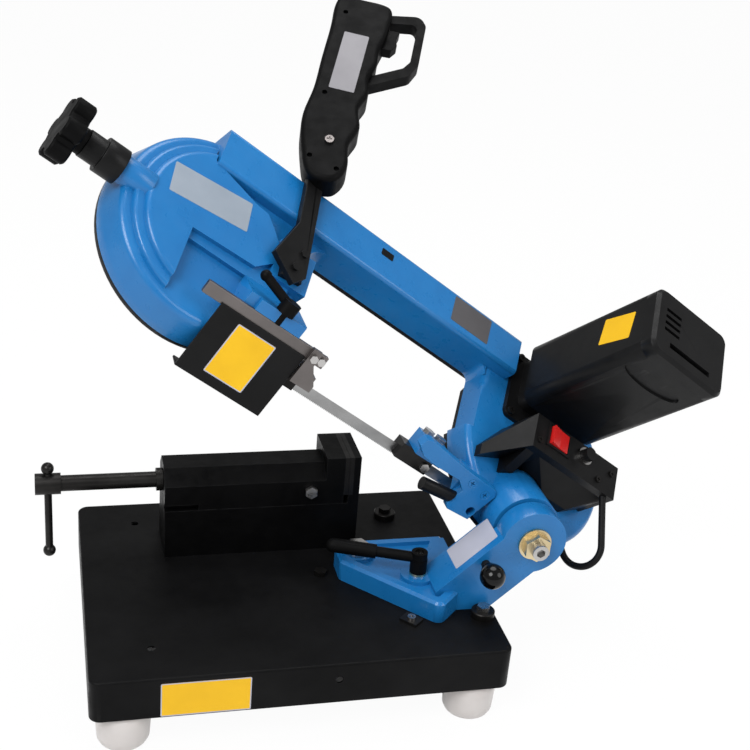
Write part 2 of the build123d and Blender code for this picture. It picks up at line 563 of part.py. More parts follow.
def swivel_arm():
    """Cast arm: foot on the tray, rising beam and hinge cheek."""
    foot = Pos(0, 0, ARM_FLOOR) * extrude(foot_outline(), FOOT_THICK)
    foot = chamfer(foot.edges().group_by(Axis.Z)[-1], 3.0)
    rim = offset(foot_outline(), -11)
    pocket = Pos(0, 0, ARM_TOP - 5) * extrude(rim, 10)
    pocket = pocket - rod(20, (PIVOT_X, 0, 0), (PIVOT_X, 0, 200))
    pocket = pocket - rod(19, (CLAMP_X, CLAMP_Y, 0), (CLAMP_X, CLAMP_Y, 200))
    arm = foot - pocket
    beam = side_prism(beam_outline(), ARM_Y0, ARM_Y1)
    beam = beam + rod(BOSS_R, (HINGE_X, ARM_Y0, HINGE_Z), (HINGE_X, ARM_Y1, HINGE_Z))
    beam = beam - rod(LUG_R + LUG_ROOM, (HINGE_X, CHEEK_Y1, HINGE_Z), (HINGE_X, ARM_Y1 + 1, HINGE_Z))
    arm = arm + beam
    web = prism([(150, ARM_Y1), (191, ARM_Y1), (191, 12), (176, 12)], ARM_FLOOR, ARM_TOP + 3)
    arm = arm + web
    arm = arm - rod(PIVOT_R + RUN, (PIVOT_X, 0, 0), (PIVOT_X, 0, 200))
    arm = arm - rod(CLAMP_R + RUN, (CLAMP_X, CLAMP_Y, 0), (CLAMP_X, CLAMP_Y, ARM_TOP + 1))
    arm = arm - rod(LOCK_R + RUN, (LOCK_X, ARM_Y0 - 1, LOCK_Z), (LOCK_X, ARM_Y1 + 1, LOCK_Z))
    return arm - rod(PIN_R, (HINGE_X, ARM_Y0 - 1, HINGE_Z), (HINGE_X, CHEEK_Y1 + 1, HINGE_Z))


def hinge_pin():
    """Hinge bolt fixed in the cheek, with a hexagon socket in its front end."""
    pin = rod(PIN_R, (HINGE_X, PIN_Y0, HINGE_Z), (HINGE_X, PIN_Y1, HINGE_Z))
    return pin - hexagon(9.0, (HINGE_X, PIN_Y0 - 1, HINGE_Z), (HINGE_X, PIN_Y0 + 8, HINGE_Z))


def hinge_fasteners():
    """Washers and nut of the bow hinge, and the washer of the mitre clamp."""
    front = tube(HINGE_WASHER_R, PIN_R + THREAD_GAP, (HINGE_X, ARM_Y0 - HINGE_WASHER_T, HINGE_Z),
                 (HINGE_X, ARM_Y0, HINGE_Z))
    thrust = tube(HINGE_WASHER_R, PIN_R + THREAD_GAP, (HINGE_X, CHEEK_Y1, HINGE_Z),
                  (HINGE_X, LUG_Y0 - SLIDE, HINGE_Z))
    start = ARM_Y0 - HINGE_WASHER_T
    nut = hexagon(27.0, (HINGE_X, start - 10, HINGE_Z), (HINGE_X, start, HINGE_Z))
    nut = nut - rod(PIN_R + THREAD_GAP, (HINGE_X, start - 11, HINGE_Z), (HINGE_X, start + 1, HINGE_Z))
    low = tube(CLAMP_HUB_R, CLAMP_R + THREAD_GAP, (CLAMP_X, CLAMP_Y, ARM_TOP),
               (CLAMP_X, CLAMP_Y, ARM_TOP + CLAMP_WASHER))
    return group(front, thrust, nut, low)


def lock_pin():
    return rod(LOCK_R, (LOCK_X, LOCK_BALL_Y, LOCK_Z), (LOCK_X, LOCK_TIP_Y, LOCK_Z))


def lock_ball():
    """Ball knob with a short neck, pressed on the lock pin."""
    ball = Pos(LOCK_X, LOCK_BALL_Y, LOCK_Z) * Sphere(LOCK_BALL_R)
    neck_end = LOCK_BALL_Y + LOCK_BALL_R + LOCK_NECK
    ball = ball + rod(8.0, (LOCK_X, LOCK_BALL_Y, LOCK_Z), (LOCK_X, neck_end, LOCK_Z))
    return ball - rod(LOCK_R, (LOCK_X, LOCK_BALL_Y, LOCK_Z), (LOCK_X, neck_end + 1, LOCK_Z))


def clamp_stud():
    """Stud of the mitre clamp with a square head under the tray."""
    head = 6.0
    low = TRAY_UNDER - SLIDE
    stud = rod(CLAMP_R, (CLAMP_X, CLAMP_Y, low), (CLAMP_X, CLAMP_Y, ARM_TOP + 24))
    return stud + Pos(CLAMP_X, CLAMP_Y, low - head / 2) * Box(22, 22, head)


def clamp_lever():
    """Clamp lever: hub on the stud and a tapered arm with a round end."""
    low = ARM_TOP + CLAMP_WASHER + SLIDE
    hub = rod(CLAMP_HUB_R, (CLAMP_X, CLAMP_Y, low), (CLAMP_X, CLAMP_Y, low + 16))
    hub = hub + rod(9.0, (CLAMP_X, CLAMP_Y, low + 16), (CLAMP_X, CLAMP_Y, low + 25))
    height = low + 17
    start = Vector(CLAMP_X, CLAMP_Y, height)
    tip = Vector(*LEVER_TIP, height + 5)
    way = (tip - start).normalized()
    place = Plane(origin=tuple(start), z_dir=tuple(way))
    length = (tip - start).length
    half_way = Plane(origin=tuple(start + way * (length * 0.5)), z_dir=tuple(way))
    arm = place * extrude(Circle(6.0), length * 0.5) + half_way * extrude(Circle(8.0), length * 0.5)
    arm = arm + Pos(*tuple(tip)) * Sphere(8.0)
    return hub + arm - rod(CLAMP_R + RUN, (CLAMP_X, CLAMP_Y, low - 1), (CLAMP_X, CLAMP_Y, ARM_TOP + 40))


# Bow, drawn lowered; the last step raises it

def drum(x, radius, face, draft):
    """Tapered wheel drum on one wheel axis."""
    depth = face - DRUM_BACK
    body = Pos(x, 0, DRUM_BACK) * extrude(Circle(radius), depth, taper=draft)
    return fillet(body.edges().group_by(Axis.Z)[-1], 7.0)


def raised_disc(radius, top, edge):
    """Round raised face of the idler drum with a soft edge."""
    low = IDLER_FACE - 4
    disc = Pos(IDLER_X, 0, low) * extrude(Circle(radius), top - low, taper=6)
    return fillet(disc.edges().group_by(Axis.Z)[-1], edge)


def plateau():
    """Stepped dome of the idler drum: a terrace, a lobe on it, and a pad for the handle."""
    low, high = IDLER_FACE - 8, PLATEAU_TOP + 10
    shift = Pos(IDLER_X, 0, 0)
    valley = shift * prism(VALLEY, low, high)
    lobe = raised_disc(PLATEAU_R, PLATEAU_TOP, 5.0) - valley - shift * prism(STEP, low, high)
    bay = shift * block(STEP_X, 200, -200, TERRACE_CUT, low, high)
    terrace = raised_disc(TERRACE_R, TERRACE_TOP, 4.0) - valley - bay
    pad = block(HANDLE_X - 24, HANDLE_X + 22, -14, 34, low, PLATEAU_TOP)
    return terrace + lobe + pad


def pillar():
    """Flat sided web between the drive drum and the tube."""
    web = block(PILLAR_X, PILLAR_X + 60, PILLAR_Y0, TUBE_Y0 + 4, DRUM_BACK, DRIVE_FACE)
    front_edges = web.edges().filter_by(Axis.Y).group_by(Axis.Z)[-1]
    return fillet(front_edges.sort_by(Axis.X)[0], 8.0)


def drive_drum():
    """Drive drum with a flat left side, its pillar and the seat of the motor flange."""
    outside = block(PILLAR_X - 200, PILLAR_X, PILLAR_Y0, 200, DRUM_BACK - 1, 100)
    body = drum(DRIVE_X, DRIVE_DRUM_R, DRIVE_FACE, DRIVE_DRAFT) - outside
    seat = flange_place(DRIVE_FACE - MOTOR_SEAT) * extrude(flange_outline(), MOTOR_SEAT)
    return body + pillar() + seat


def throat_web(x, side, radius):
    """Rounded inside corner between a drum and the top tube."""
    reach = x + side * radius
    low = TUBE_Y0 - radius
    web = block(min(x, reach), max(x, reach), low, TUBE_Y0 + 4, DRUM_BACK, DRIVE_FACE)
    return web - rod(radius, (reach, low, DRUM_BACK - 1), (reach, low, 100))


def posts():
    """Screw posts for the rear cover."""
    spots = [(IDLER_X, IDLER_DRUM_R - POST_INSET, angle) for angle in IDLER_POSTS]
    spots.extend((DRIVE_X, DRIVE_DRUM_R - POST_INSET, angle) for angle in DRIVE_POSTS)
    return [(x + ring * cos(radians(a)), ring * sin(radians(a))) for x, ring, a in spots]


def wheel_side_of_bow():
    """Drums, tube and webs in the wheel frame."""
    frame = drum(IDLER_X, IDLER_DRUM_R, IDLER_FACE, IDLER_DRAFT) + drive_drum()
    top_tube = block(TUBE_X0, TUBE_X1, TUBE_Y0, TUBE_Y1, DRUM_BACK, TUBE_FACE)
    top_tube = fillet(top_tube.edges().filter_by(Axis.X).group_by(Axis.Z)[-1], 5.0)
    frame = frame + top_tube + plateau()
    frame = frame + throat_web(IDLER_X + 106, 1, THROAT_R) + throat_web(PILLAR_X, -1, PILLAR_THROAT_R)
    frame = frame + rod(15.0, (IDLER_X - 83, 0, TENSION_Z), (SLEEVE_X1, 0, TENSION_Z))
    return frame


def bow_hollows():
    """Wheel rooms, band channel and blade windows in the wheel frame."""
    return fuse([
        rod(IDLER_DRUM_R - DRUM_WALL, (IDLER_X, 0, DRUM_BACK - 1), (IDLER_X, 0, PLATE_BACK)),
        drive_room(),
        block(TUBE_X0 + TUBE_WALL, TUBE_X1 - TUBE_WALL, TUBE_Y0 + TUBE_WALL, TUBE_Y1 - TUBE_WALL,
              DRUM_BACK - 1, TUBE_FACE - TUBE_WALL),
        block(TUBE_X1 - 20, DRIVE_X, TUBE_Y0 + TUBE_WALL, 92, DRUM_BACK - 1, 14),
        blade_windows(DRUM_BACK - 1, 13),
        block(IDLER_X - 200, DRIVE_X + 200, -250, 250, DRUM_BACK - 100, DRUM_BACK),
    ])


def drive_room():
    """Room of the drive wheel, flat on the pillar side."""
    room = rod(DRIVE_DRUM_R - DRUM_WALL, (DRIVE_X, 0, DRUM_BACK - 1), (DRIVE_X, 0, PLATE_BACK))
    return room & block(PILLAR_X + PILLAR_WALL, 200, -200, 200, DRUM_BACK - 2, PLATE_BACK + 1)


def blade_windows(z0, z1):
    """Openings where the band leaves and enters the drums, in the wheel frame."""
    left = block(IDLER_X + WINDOW_NEAR, IDLER_X + WINDOW_FAR, WINDOW_Y0, WINDOW_Y1, z0, z1)
    return left + block(DRIVE_X - WINDOW_FAR, DRIVE_X - WINDOW_NEAR, WINDOW_Y0, WINDOW_Y1, z0, z1)


def bow_frame():
    """Cast bow: two drums, tube, hinge lug and pads for the guides."""
    frame = WHEEL_FRAME * wheel_side_of_bow()
    lug = rod(LUG_R, (HINGE_X, LUG_Y0, HINGE_Z), (HINGE_X, LUG_Y1, HINGE_Z))
    frame = frame + lug
    bar_seat = block(SEAT_X0, SEAT_X1, BAR_K1 + SLIDE, 12, SEAT_H0, SEAT_H1)
    lip = block(SEAT_X0 + 12, SEAT_X1 - 2, BAR_K0 + 0.5, BAR_K1 + 1, BAR_H1 + SLIDE, SEAT_H1)
    ledge = block(SEAT_X0, SEAT_X1, BAR_K0 + 0.5, BAR_K1 + 1, SEAT_H0, BAR_H0 - SLIDE)
    drive_pad = block(-88, -52, BRACKET_K1, 6, -12, 30)
    bracket_seat = block(-175, BRACKET_RIGHT, BRACKET_K1 - 60, BRACKET_K1, -40, 60)
    frame = frame + BLADE_FRAME * (bar_seat + lip + ledge + drive_pad)
    frame = frame - WHEEL_FRAME * bow_hollows() - BLADE_FRAME * bracket_seat
    frame = frame + WHEEL_FRAME * bow_bosses()
    frame = frame - WHEEL_FRAME * bow_bores()
    frame = frame - rod(PIN_R + RUN, (HINGE_X, LUG_Y0 - 1, HINGE_Z), (HINGE_X, PIN_Y1 + 0.5, HINGE_Z))
    for x, h in bracket_bolt_places():
        frame = frame - BLADE_FRAME * rod(M6[0] + THREAD_GAP, (x, BRACKET_K1 - 1, h), (x, BRACKET_K1 + 14, h))
    frame = frame - BLADE_FRAME * rod(LOCK_R + 0.4, lock_hole(BRACKET_K1 - 1), lock_hole(BRACKET_K1 + 4))
    x, k = clamp_screw_place()
    return frame - BLADE_FRAME * rod(M8[0] + THREAD_GAP, (x, k, BAR_H1 - 1), (x, k, SEAT_H1 + 1))


def bow_bosses():
    """Axle boss and cover posts in the wheel frame."""
    bosses = [rod(17.0, (DRIVE_X, 0, GEAR_Z1 + 1.5), (DRIVE_X, 0, PLATE_BACK + 1))]
    for x, y in posts():
        bosses.append(rod(POST_R, (x, y, DRUM_BACK), (x, y, PLATE_BACK + 1)))
    return fuse(bosses)


def bow_bores():
    """Bores and pockets cut last, in the wheel frame."""
    cutters = [
        rod(DRIVE_AXLE_R, (DRIVE_X, 0, 0), (DRIVE_X, 0, DRIVE_FACE + 1)),
        rod(PINION_HOLE_R, (MOTOR_X, MOTOR_Y, 0), (MOTOR_X, MOTOR_Y, DRIVE_FACE + 1)),
        block(POCKET_X0, POCKET_X1, -CARRIAGE_HALF - SLIDE, CARRIAGE_HALF + SLIDE, CARRIAGE_STEP,
              CARRIAGE_FRONT + SLIDE),
        block(POCKET_X0, POCKET_X1, -NECK_HALF - SLIDE, NECK_HALF + SLIDE, 0, CARRIAGE_STEP + 1),
        rod(TENSION_R + 0.3, (SLEEVE_X1 - 1, 0, TENSION_Z), (POCKET_X0 + 1, 0, TENSION_Z)),
    ]
    for x, y in posts():
        cutters.append(rod(M5[0] + THREAD_GAP, (x, y, DRUM_BACK - 1), (x, y, DRUM_BACK + 14)))
    for x, y in flange_screw_places():
        cutters.append(rod(M6[0] + THREAD_GAP, (x, y, PLATE_BACK - 1), (x, y, DRIVE_FACE + 1)))
    for x, y in box_screw_places():
        cutters.append(rod(2.0 + THREAD_GAP, (x, y, PLATE_BACK - 1), (x, y, DRIVE_FACE + 1)))
    for x, y in stem_bolt_places():
        spot = Pos(HANDLE_X, HANDLE_Y, 0) * Rot(0, 0, HANDLE_LEAN)
        cutters.append(spot * rod(M5[0] + THREAD_GAP, (x, y, PLATEAU_TOP - 12), (x, y, PLATEAU_TOP + 1)))
    end, before = lead_points()[-1], lead_points()[-2]
    cutters.append(rod(LEAD_R + 0.1, end, before))
    return fuse(cutters)


def rear_outline(grow):
    """Plan of the rear cover in the wheel frame."""
    lip = 1.5 - grow
    plan = Pos(IDLER_X, 0) * Circle(IDLER_DRUM_R - lip) + Pos(DRIVE_X, 0) * Circle(DRIVE_DRUM_R - lip)
    top = TUBE_Y1 - lip
    low = TUBE_Y0 + lip
    right = TUBE_X1 + 10.0
    band = Pos((IDLER_X + right) / 2, (top + low) / 2) * Rectangle(right - IDLER_X, top - low)
    side = PILLAR_X + lip
    height = low - PILLAR_Y0 + lip
    outside = Pos(side - 50, low - height / 2) * Rectangle(100, height)
    return plan - outside + band


def rear_cover():
    """Pressed sheet cover behind the wheels."""
    depth = DRUM_BACK - COVER_BACK
    pan = Pos(0, 0, COVER_BACK) * extrude(rear_outline(0), depth)
    room = Pos(0, 0, COVER_BACK + COVER_T) * extrude(rear_outline(-COVER_T), depth)
    pan = pan - room
    for x, y in posts():
        pan = pan + rod(POST_R + 1, (x, y, COVER_BACK), (x, y, DRUM_BACK))
        pan = pan - rod(M5[0] + 0.2, (x, y, COVER_BACK - 1), (x, y, DRUM_BACK + 1))
    return WHEEL_FRAME * (pan - blade_windows(COVER_BACK + COVER_T, DRUM_BACK + 1))


def cover_screws():
    return WHEEL_FRAME * group(*[
        pan_screw(M5[0], 4.8, 3.0, (x, y, COVER_BACK), (0, 0, 1), DRUM_BACK - COVER_BACK + 10)
        for x, y in posts()])


def idler_carriage():
    """Block that slides in the idler drum and holds the idler axle."""
    step = CARRIAGE_STEP + SLIDE
    body = block(CARRIAGE_X0, CARRIAGE_X1, -CARRIAGE_HALF, CARRIAGE_HALF, step, CARRIAGE_FRONT)
    body = body + block(CARRIAGE_X0, CARRIAGE_X1, -NECK_HALF, NECK_HALF, CARRIAGE_BACK, step + 1)
    body = body - rod(AXLE_R, (IDLER_X, 0, 0), (IDLER_X, 0, TENSION_Z - TENSION_R - 1))
    return WHEEL_FRAME * (body - rod(TENSION_R + THREAD_GAP, (CARRIAGE_X0 - 1, 0, TENSION_Z),
                                     (CARRIAGE_X1 + 1, 0, TENSION_Z)))


def wheel_blank(x, bore):
    """Band wheel with rim, web and hub."""
    rim = tube(WHEEL_R, WHEEL_R - 9, (x, 0, -WHEEL_HALF), (x, 0, WHEEL_HALF))
    web = rod(WHEEL_R - 8, (x, 0, -4), (x, 0, 4))
    hub = rod(20.0, (x, 0, HUB_BACK), (x, 0, HUB_FRONT))
    return rim + web + hub - rod(bore + RUN, (x, 0, -20), (x, 0, 50))


def idler_wheel():
    wheel = wheel_blank(IDLER_X, AXLE_R)
    for i in range(5):
        angle = radians(72 * i)
        x, y = IDLER_X + 47 * cos(angle), 47 * sin(angle)
        wheel = wheel - rod(14.0, (x, y, -10), (x, y, 10))
    return WHEEL_FRAME * wheel


def idler_axle():
    """Shoulder bolt from the back through the idler wheel into the carriage."""
    under = HUB_BACK - SLIDE
    axle = rod(AXLE_R, (IDLER_X, 0, under), (IDLER_X, 0, TENSION_Z - TENSION_R - 1.2))
    return WHEEL_FRAME * (axle + rod(AXLE_HEAD_R, (IDLER_X, 0, under - 2), (IDLER_X, 0, under)))


def drive_wheel():
    """Driven band wheel with a seat for the gear."""
    bore = DRIVE_AXLE_R + RUN
    low = (DRIVE_X, 0, 0)
    seat = tube(43.0, bore, low, (DRIVE_X, 0, GEAR_Z0))
    seat = seat + tube(SPIGOT_GEAR_R, bore, low, (DRIVE_X, 0, GEAR_Z0 + 7))
    return WHEEL_FRAME * (wheel_blank(DRIVE_X, DRIVE_AXLE_R) + seat)


def drive_axle():
    """Fixed axle from the back through the drive wheel into the drum."""
    under = HUB_BACK - SLIDE
    axle = rod(DRIVE_AXLE_R, (DRIVE_X, 0, under), (DRIVE_X, 0, DRIVE_FACE))
    return WHEEL_FRAME * (axle + rod(DRIVE_AXLE_R + 4, (DRIVE_X, 0, under - 2), (DRIVE_X, 0, under)))


def gear_outline(teeth, phase):
    """Straight sided spur gear outline with backlash, as one closed line."""
    pitch_r = GEAR_MODULE * teeth / 2
    tip_r = pitch_r + 0.85 * GEAR_MODULE
    root_r = pitch_r - 1.15 * GEAR_MODULE
    step = 360.0 / teeth
    half = 0.25 * step - degrees(0.25 / pitch_r)
    slope = degrees(tan(radians(20)) * GEAR_MODULE / pitch_r)
    points = []
    for i in range(teeth):
        middle = phase + i * step
        for radius, angle in ((root_r, -half - 1.15 * slope), (tip_r, -half + 0.85 * slope),
                              (tip_r, half - 0.85 * slope), (root_r, half + 1.15 * slope)):
            turn = radians(middle + angle)
            points.append((radius * cos(turn), radius * sin(turn)))
    return points


def drive_gear():
    """Gear pressed on the drive wheel; a gap between two teeth faces the pinion."""
    step = 360.0 / GEAR_TEETH
    gear = prism(gear_outline(GEAR_TEETH, MESH_ANGLE + step / 2), GEAR_Z0, GEAR_Z1)
    return WHEEL_FRAME * Pos(DRIVE_X, 0, 0) * (gear - rod(SPIGOT_GEAR_R, (0, 0, 0), (0, 0, 50)))


def motor_rotor():
    """Motor shaft with its pinion, fan, armature and commutator."""
    shaft = rod(SHAFT_R, (MOTOR_X, MOTOR_Y, GEAR_Z0), (MOTOR_X, MOTOR_Y, MOTOR_Z1 + 6))
    pinion = Pos(MOTOR_X, MOTOR_Y, 0) * prism(gear_outline(PINION_TEETH, MESH_ANGLE + 180), GEAR_Z0, GEAR_Z1)
    armature = rod(25.0, (MOTOR_X, MOTOR_Y, 90), (MOTOR_X, MOTOR_Y, 168))
    commutator = rod(14.0, (MOTOR_X, MOTOR_Y, 178), (MOTOR_X, MOTOR_Y, 202))
    fan = rod(34.0, (MOTOR_X, MOTOR_Y, 70), (MOTOR_X, MOTOR_Y, 78))
    return WHEEL_FRAME * (shaft + pinion + armature + commutator + fan)


def flange_place(z):
    """Middle of the motor flange at a given height."""
    return Pos(MOTOR_X, MOTOR_Y - MOTOR_PLATE_DROP, z)


def flange_outline():
    return RectangleRounded(MOTOR_PLATE_W, MOTOR_PLATE_H, 9)


def flange_screw_places():
    reach_x, reach_y = MOTOR_PLATE_W / 2 - 7, MOTOR_PLATE_H / 2 - 7
    middle = MOTOR_Y - MOTOR_PLATE_DROP
    return [(MOTOR_X + sx * reach_x, middle + sy * reach_y) for sx in (-1, 1) for sy in (-1, 1)]


def motor_flange():
    """Black gear head between the drum face and the motor."""
    plate = flange_place(DRIVE_FACE) * extrude(flange_outline(), MOTOR_PLATE_T)
    neck_outline = RectangleRounded(NECK_W, NECK_H, 12)
    neck = Pos(MOTOR_X, MOTOR_Y, DRIVE_FACE) * extrude(neck_outline, MOTOR_Z0 - DRIVE_FACE)
    body = plate + neck - rod(SHAFT_R + RUN, (MOTOR_X, MOTOR_Y, 0), (MOTOR_X, MOTOR_Y, 100))
    for x, y in flange_screw_places():
        body = body - rod(M6[0] + 0.2, (x, y, 0), (x, y, 100))
    return WHEEL_FRAME * body


def motor_screws():
    """Screws of the motor flange and of the switch box."""
    seat = DRIVE_FACE + MOTOR_PLATE_T
    screws = [pan_screw(M6[0], 4.8, 4.0, (x, y, seat), (0, 0, -1), MOTOR_PLATE_T + 5.5)
              for x, y in flange_screw_places()]
    deep = BOX_TOP - PLATE_BACK - 1
    screws.extend(pan_screw(2.0, 3.8, 2.4, (x, y, BOX_TOP), (0, 0, -1), deep) for x, y in box_screw_places())
    return WHEEL_FRAME * group(*screws)


def motor_section(inset):
    """Cross section of the motor, smaller by a wall."""
    return RectangleRounded(MOTOR_W - 2 * inset, MOTOR_H - 2 * inset, MOTOR_CORNER - inset)


def motor_housing():
    """Black motor body: rounded tube with a shallow oval pocket on its lower face."""
    seat = Pos(MOTOR_X, MOTOR_Y, MOTOR_Z0)
    body = seat * extrude(motor_section(0), MOTOR_Z1 - MOTOR_Z0)
    body = body - seat * Pos(0, 0, 4) * extrude(motor_section(MOTOR_WALL), MOTOR_Z1 - MOTOR_Z0)
    body = body - rod(SHAFT_R + 4, (MOTOR_X, MOTOR_Y, 0), (MOTOR_X, MOTOR_Y, MOTOR_Z0 + 5))
    below = MOTOR_Y - MOTOR_H / 2 - 1
    middle = (MOTOR_X - 6, below, MOTOR_Z1 - POCKET_HALF_Z - 14)
    oval = extrude(Ellipse(POCKET_HALF_X, POCKET_HALF_Z), POCKET_DEPTH + 1)
    pocket = Plane(origin=middle, x_dir=(1, 0, 0), z_dir=(0, 1, 0)) * oval
    return WHEEL_FRAME * (body - pocket)


def motor_cap():
    """End cap with vent slots, bevelled all round."""
    seat = Pos(MOTOR_X, MOTOR_Y, MOTOR_Z1)
    cap = seat * extrude(motor_section(0), CAP_DEPTH)
    cap = chamfer(cap.edges().group_by(Axis.Z)[-1], 4.0)
    cap = cap - seat * Pos(0, 0, -1) * extrude(motor_section(MOTOR_WALL + 0.5), CAP_DEPTH - 4)
    cap = cap + rod(12.0, (MOTOR_X, MOTOR_Y, MOTOR_Z1 + 0.5), (MOTOR_X, MOTOR_Y, MOTOR_CAP - 3))
    cap = cap - rod(SHAFT_R + RUN, (MOTOR_X, MOTOR_Y, MOTOR_Z1), (MOTOR_X, MOTOR_Y, MOTOR_Z1 + 9))
    face = Pos(MOTOR_X, MOTOR_Y, MOTOR_CAP)
    for row in range(4):
        cap = cap - face * Pos(-0.27 * MOTOR_W, 0.2 * MOTOR_H - VENT_PITCH * row, 0) * Box(24, 4.0, 12)
    return WHEEL_FRAME * (cap - face * Pos(0, -0.29 * MOTOR_H, 0) * Box(0.56 * MOTOR_W, 6.5, 12))


def stator():
    """Field core around the armature."""
    core = Pos(MOTOR_X, MOTOR_Y, 94) * extrude(motor_section(MOTOR_WALL + 0.2), 70)
    return WHEEL_FRAME * (core - rod(26.0, (MOTOR_X, MOTOR_Y, 0), (MOTOR_X, MOTOR_Y, 300)))


# Switch box

def box_screw_places():
    return [(-34.0, -24.0), (62.0, -24.0), (82.0, -6.0)]


def box_slice(x, y0, y1, z1):
    """Upright cross section of the switch box."""
    corners = [(x, y0, DRIVE_FACE), (x, y1, DRIVE_FACE), (x, y1, z1), (x, y0, z1)]
    return make_face(Polyline(*corners, close=True))


def box_shape(grow):
    """Outer or inner form of the switch box, shrunk by a wall: middle, sloping left end, bulge below."""
    low, high = DRIVE_FACE, BOX_TOP - grow
    y0, y1, right = BOX_Y0 + grow, BOX_Y1 - grow, BOX_X1 - grow
    middle = block(BOX_X0_TOP, right, y0, y1, low, high)
    start = box_slice(BOX_X0_TOP + grow, y0, y1, high)
    end = box_slice(BOX_X0 + grow, BOX_END_Y0 + grow, BOX_END_Y1 - grow, BOX_END_TOP - grow)
    slope = loft([start, end], ruled=True)
    skirt = BOX_BULGE_Y + grow
    outline = [(y1 - 5, low), (skirt, low), (skirt, BOX_BULGE_TOP - grow), (y0 + 6, high), (y1 - 5, high)]
    bulge = long_prism(outline, BOX_X0_TOP + grow, right)
    bulge = bulge - Pos(grow, grow, 0) * prism(BOX_BULGE_LEFT, low - 1, BOX_TOP + 1)
    bulge = bulge - Pos(-grow, grow, 0) * prism(BOX_BULGE_RIGHT, low - 1, BOX_TOP + 1)
    body = middle + slope + bulge
    return body - block(-200, 200, 2.0 - grow, 200, low - 1, BOX_SPLIT + grow)


def rocker_ears():
    """Two ears under the lid that carry the rocker pin."""
    x, y, _, d = ROCKER
    reach = d / 2 + ROCKER_EAR
    low, high = ROCKER_PIN_Z - 4, BOX_TOP - 1
    ears = block(x - 5, x + 5, y - reach, y + reach, low, high)
    ears = ears - block(x - 6, x + 6, y - d / 2, y + d / 2, low - 1, high + 1)
    pin_room = ROCKER_PIN_R + RUN
    return ears - rod(pin_room, (x, y - reach - 1, ROCKER_PIN_Z), (x, y + reach + 1, ROCKER_PIN_Z))


def switch_box():
    """Moulded switch housing, open towards the drum."""
    shell = box_shape(0) - box_shape(BOX_WALL)
    x, y, w, d = ROCKER
    bezel = block(x - w / 2 - 3, x + w / 2 + 3, y - d / 2 - 3, y + d / 2 + 3, BOX_TOP - 1, BOX_TOP + 2)
    shell = shell + bezel
    shell = shell - block(x - w / 2, x + w / 2, y - d / 2, y + d / 2, BOX_TOP - 10, BOX_TOP + 5)
    shell = shell + rocker_ears()
    gx, gy = GLAND
    shell = shell - rod(GLAND_R + THREAD_GAP, (gx, gy, BOX_TOP - 10), (gx, gy, BOX_TOP + 1))
    for sx, sy in box_screw_places():
        shell = shell - rod(2.2, (sx, sy, BOX_TOP - 10), (sx, sy, BOX_TOP + 1))
    first, second = lead_points()[:2]
    shell = shell - rod(LEAD_R + 0.1, first, second)
    shell = WHEEL_FRAME * shell
    return shell - rod(LUG_R + 1.0, (HINGE_X, LUG_Y0 - 30, HINGE_Z), (HINGE_X, LUG_Y1 + 1, HINGE_Z))


def rocker():
    """Red rocker on a pin, tipped to one side, with room to tip to the other."""
    x, y, w, d = ROCKER
    gap = 0.6
    half = w / 2 - gap - ROCKER_ROOM
    top = BOX_TOP + 2
    outline = [(x - half, BOX_TOP - 3), (x - half, top + 5), (x, top + 1.5), (x + half, top + 0.5),
               (x + half, BOX_TOP - 3), (x, BOX_TOP - 8)]
    reach = d / 2 + ROCKER_EAR - 1
    pin = rod(ROCKER_PIN_R, (x, y - reach, ROCKER_PIN_Z), (x, y + reach, ROCKER_PIN_Z))
    return WHEEL_FRAME * (side_prism(outline, y - d / 2 + gap, y + d / 2 - gap) + pin)


def gland():
    """Bright ring nut and black cap of a panel gland."""
    x, y = GLAND
    ring = tube(10.5, GLAND_R + THREAD_GAP, (x, y, BOX_TOP), (x, y, BOX_TOP + 4))
    cap = rod(GLAND_R, (x, y, BOX_TOP - 8), (x, y, BOX_TOP + 5))
    cap = cap + rod(8.0, (x, y, BOX_TOP + 4), (x, y, BOX_TOP + 13))
    return WHEEL_FRAME * group(ring, cap)


def lead_points():
    """Centre line of the lead from the switch box to the drum rim, in the wheel frame."""
    return [(80, -32, 78), (106, -114, 66), (90, -108, 26), (73, -79, 22)]


def switch_lead():
    """Rubber lead that the bow holds at both ends."""
    path = FilletPolyline(*lead_points(), radius=LEAD_BENDS)
    start = Plane(origin=path @ 0, z_dir=path % 0)
    return WHEEL_FRAME * sweep(start * Circle(LEAD_R), path)


# Handle, in the handle frame: X across, Y along, Z as on the bow

def stem_bolt_places():
    return [(-6.0, 6.0), (2.0, 26.0)]


def handle_stem():
    """Flat bar with a gusseted foot and a spacer welded under it."""
    outline = [(-STEM_HALF, 62), (-32, 14), (-4, -13), (STEM_HALF, 0), (STEM_HALF, STEM_TOP),
               (-STEM_HALF, STEM_TOP)]
    stem = prism(outline, STEM_Z0, STEM_Z1)
    stem = stem + block(-16, STEM_HALF, -4, 36, PLATEAU_TOP, STEM_Z0 + 1)
    for x, y in stem_bolt_places():
        stem = stem - rod(M5[0] + 0.2, (x, y, 0), (x, y, 100))
    x, y, side = grip_screws()[1]
    return HANDLE_FRAME * stem - GRIP_FRAME * rod(M5[0] + 0.2, (x, y, -GRIP_HALF_T), (x, y, GRIP_HALF_T))


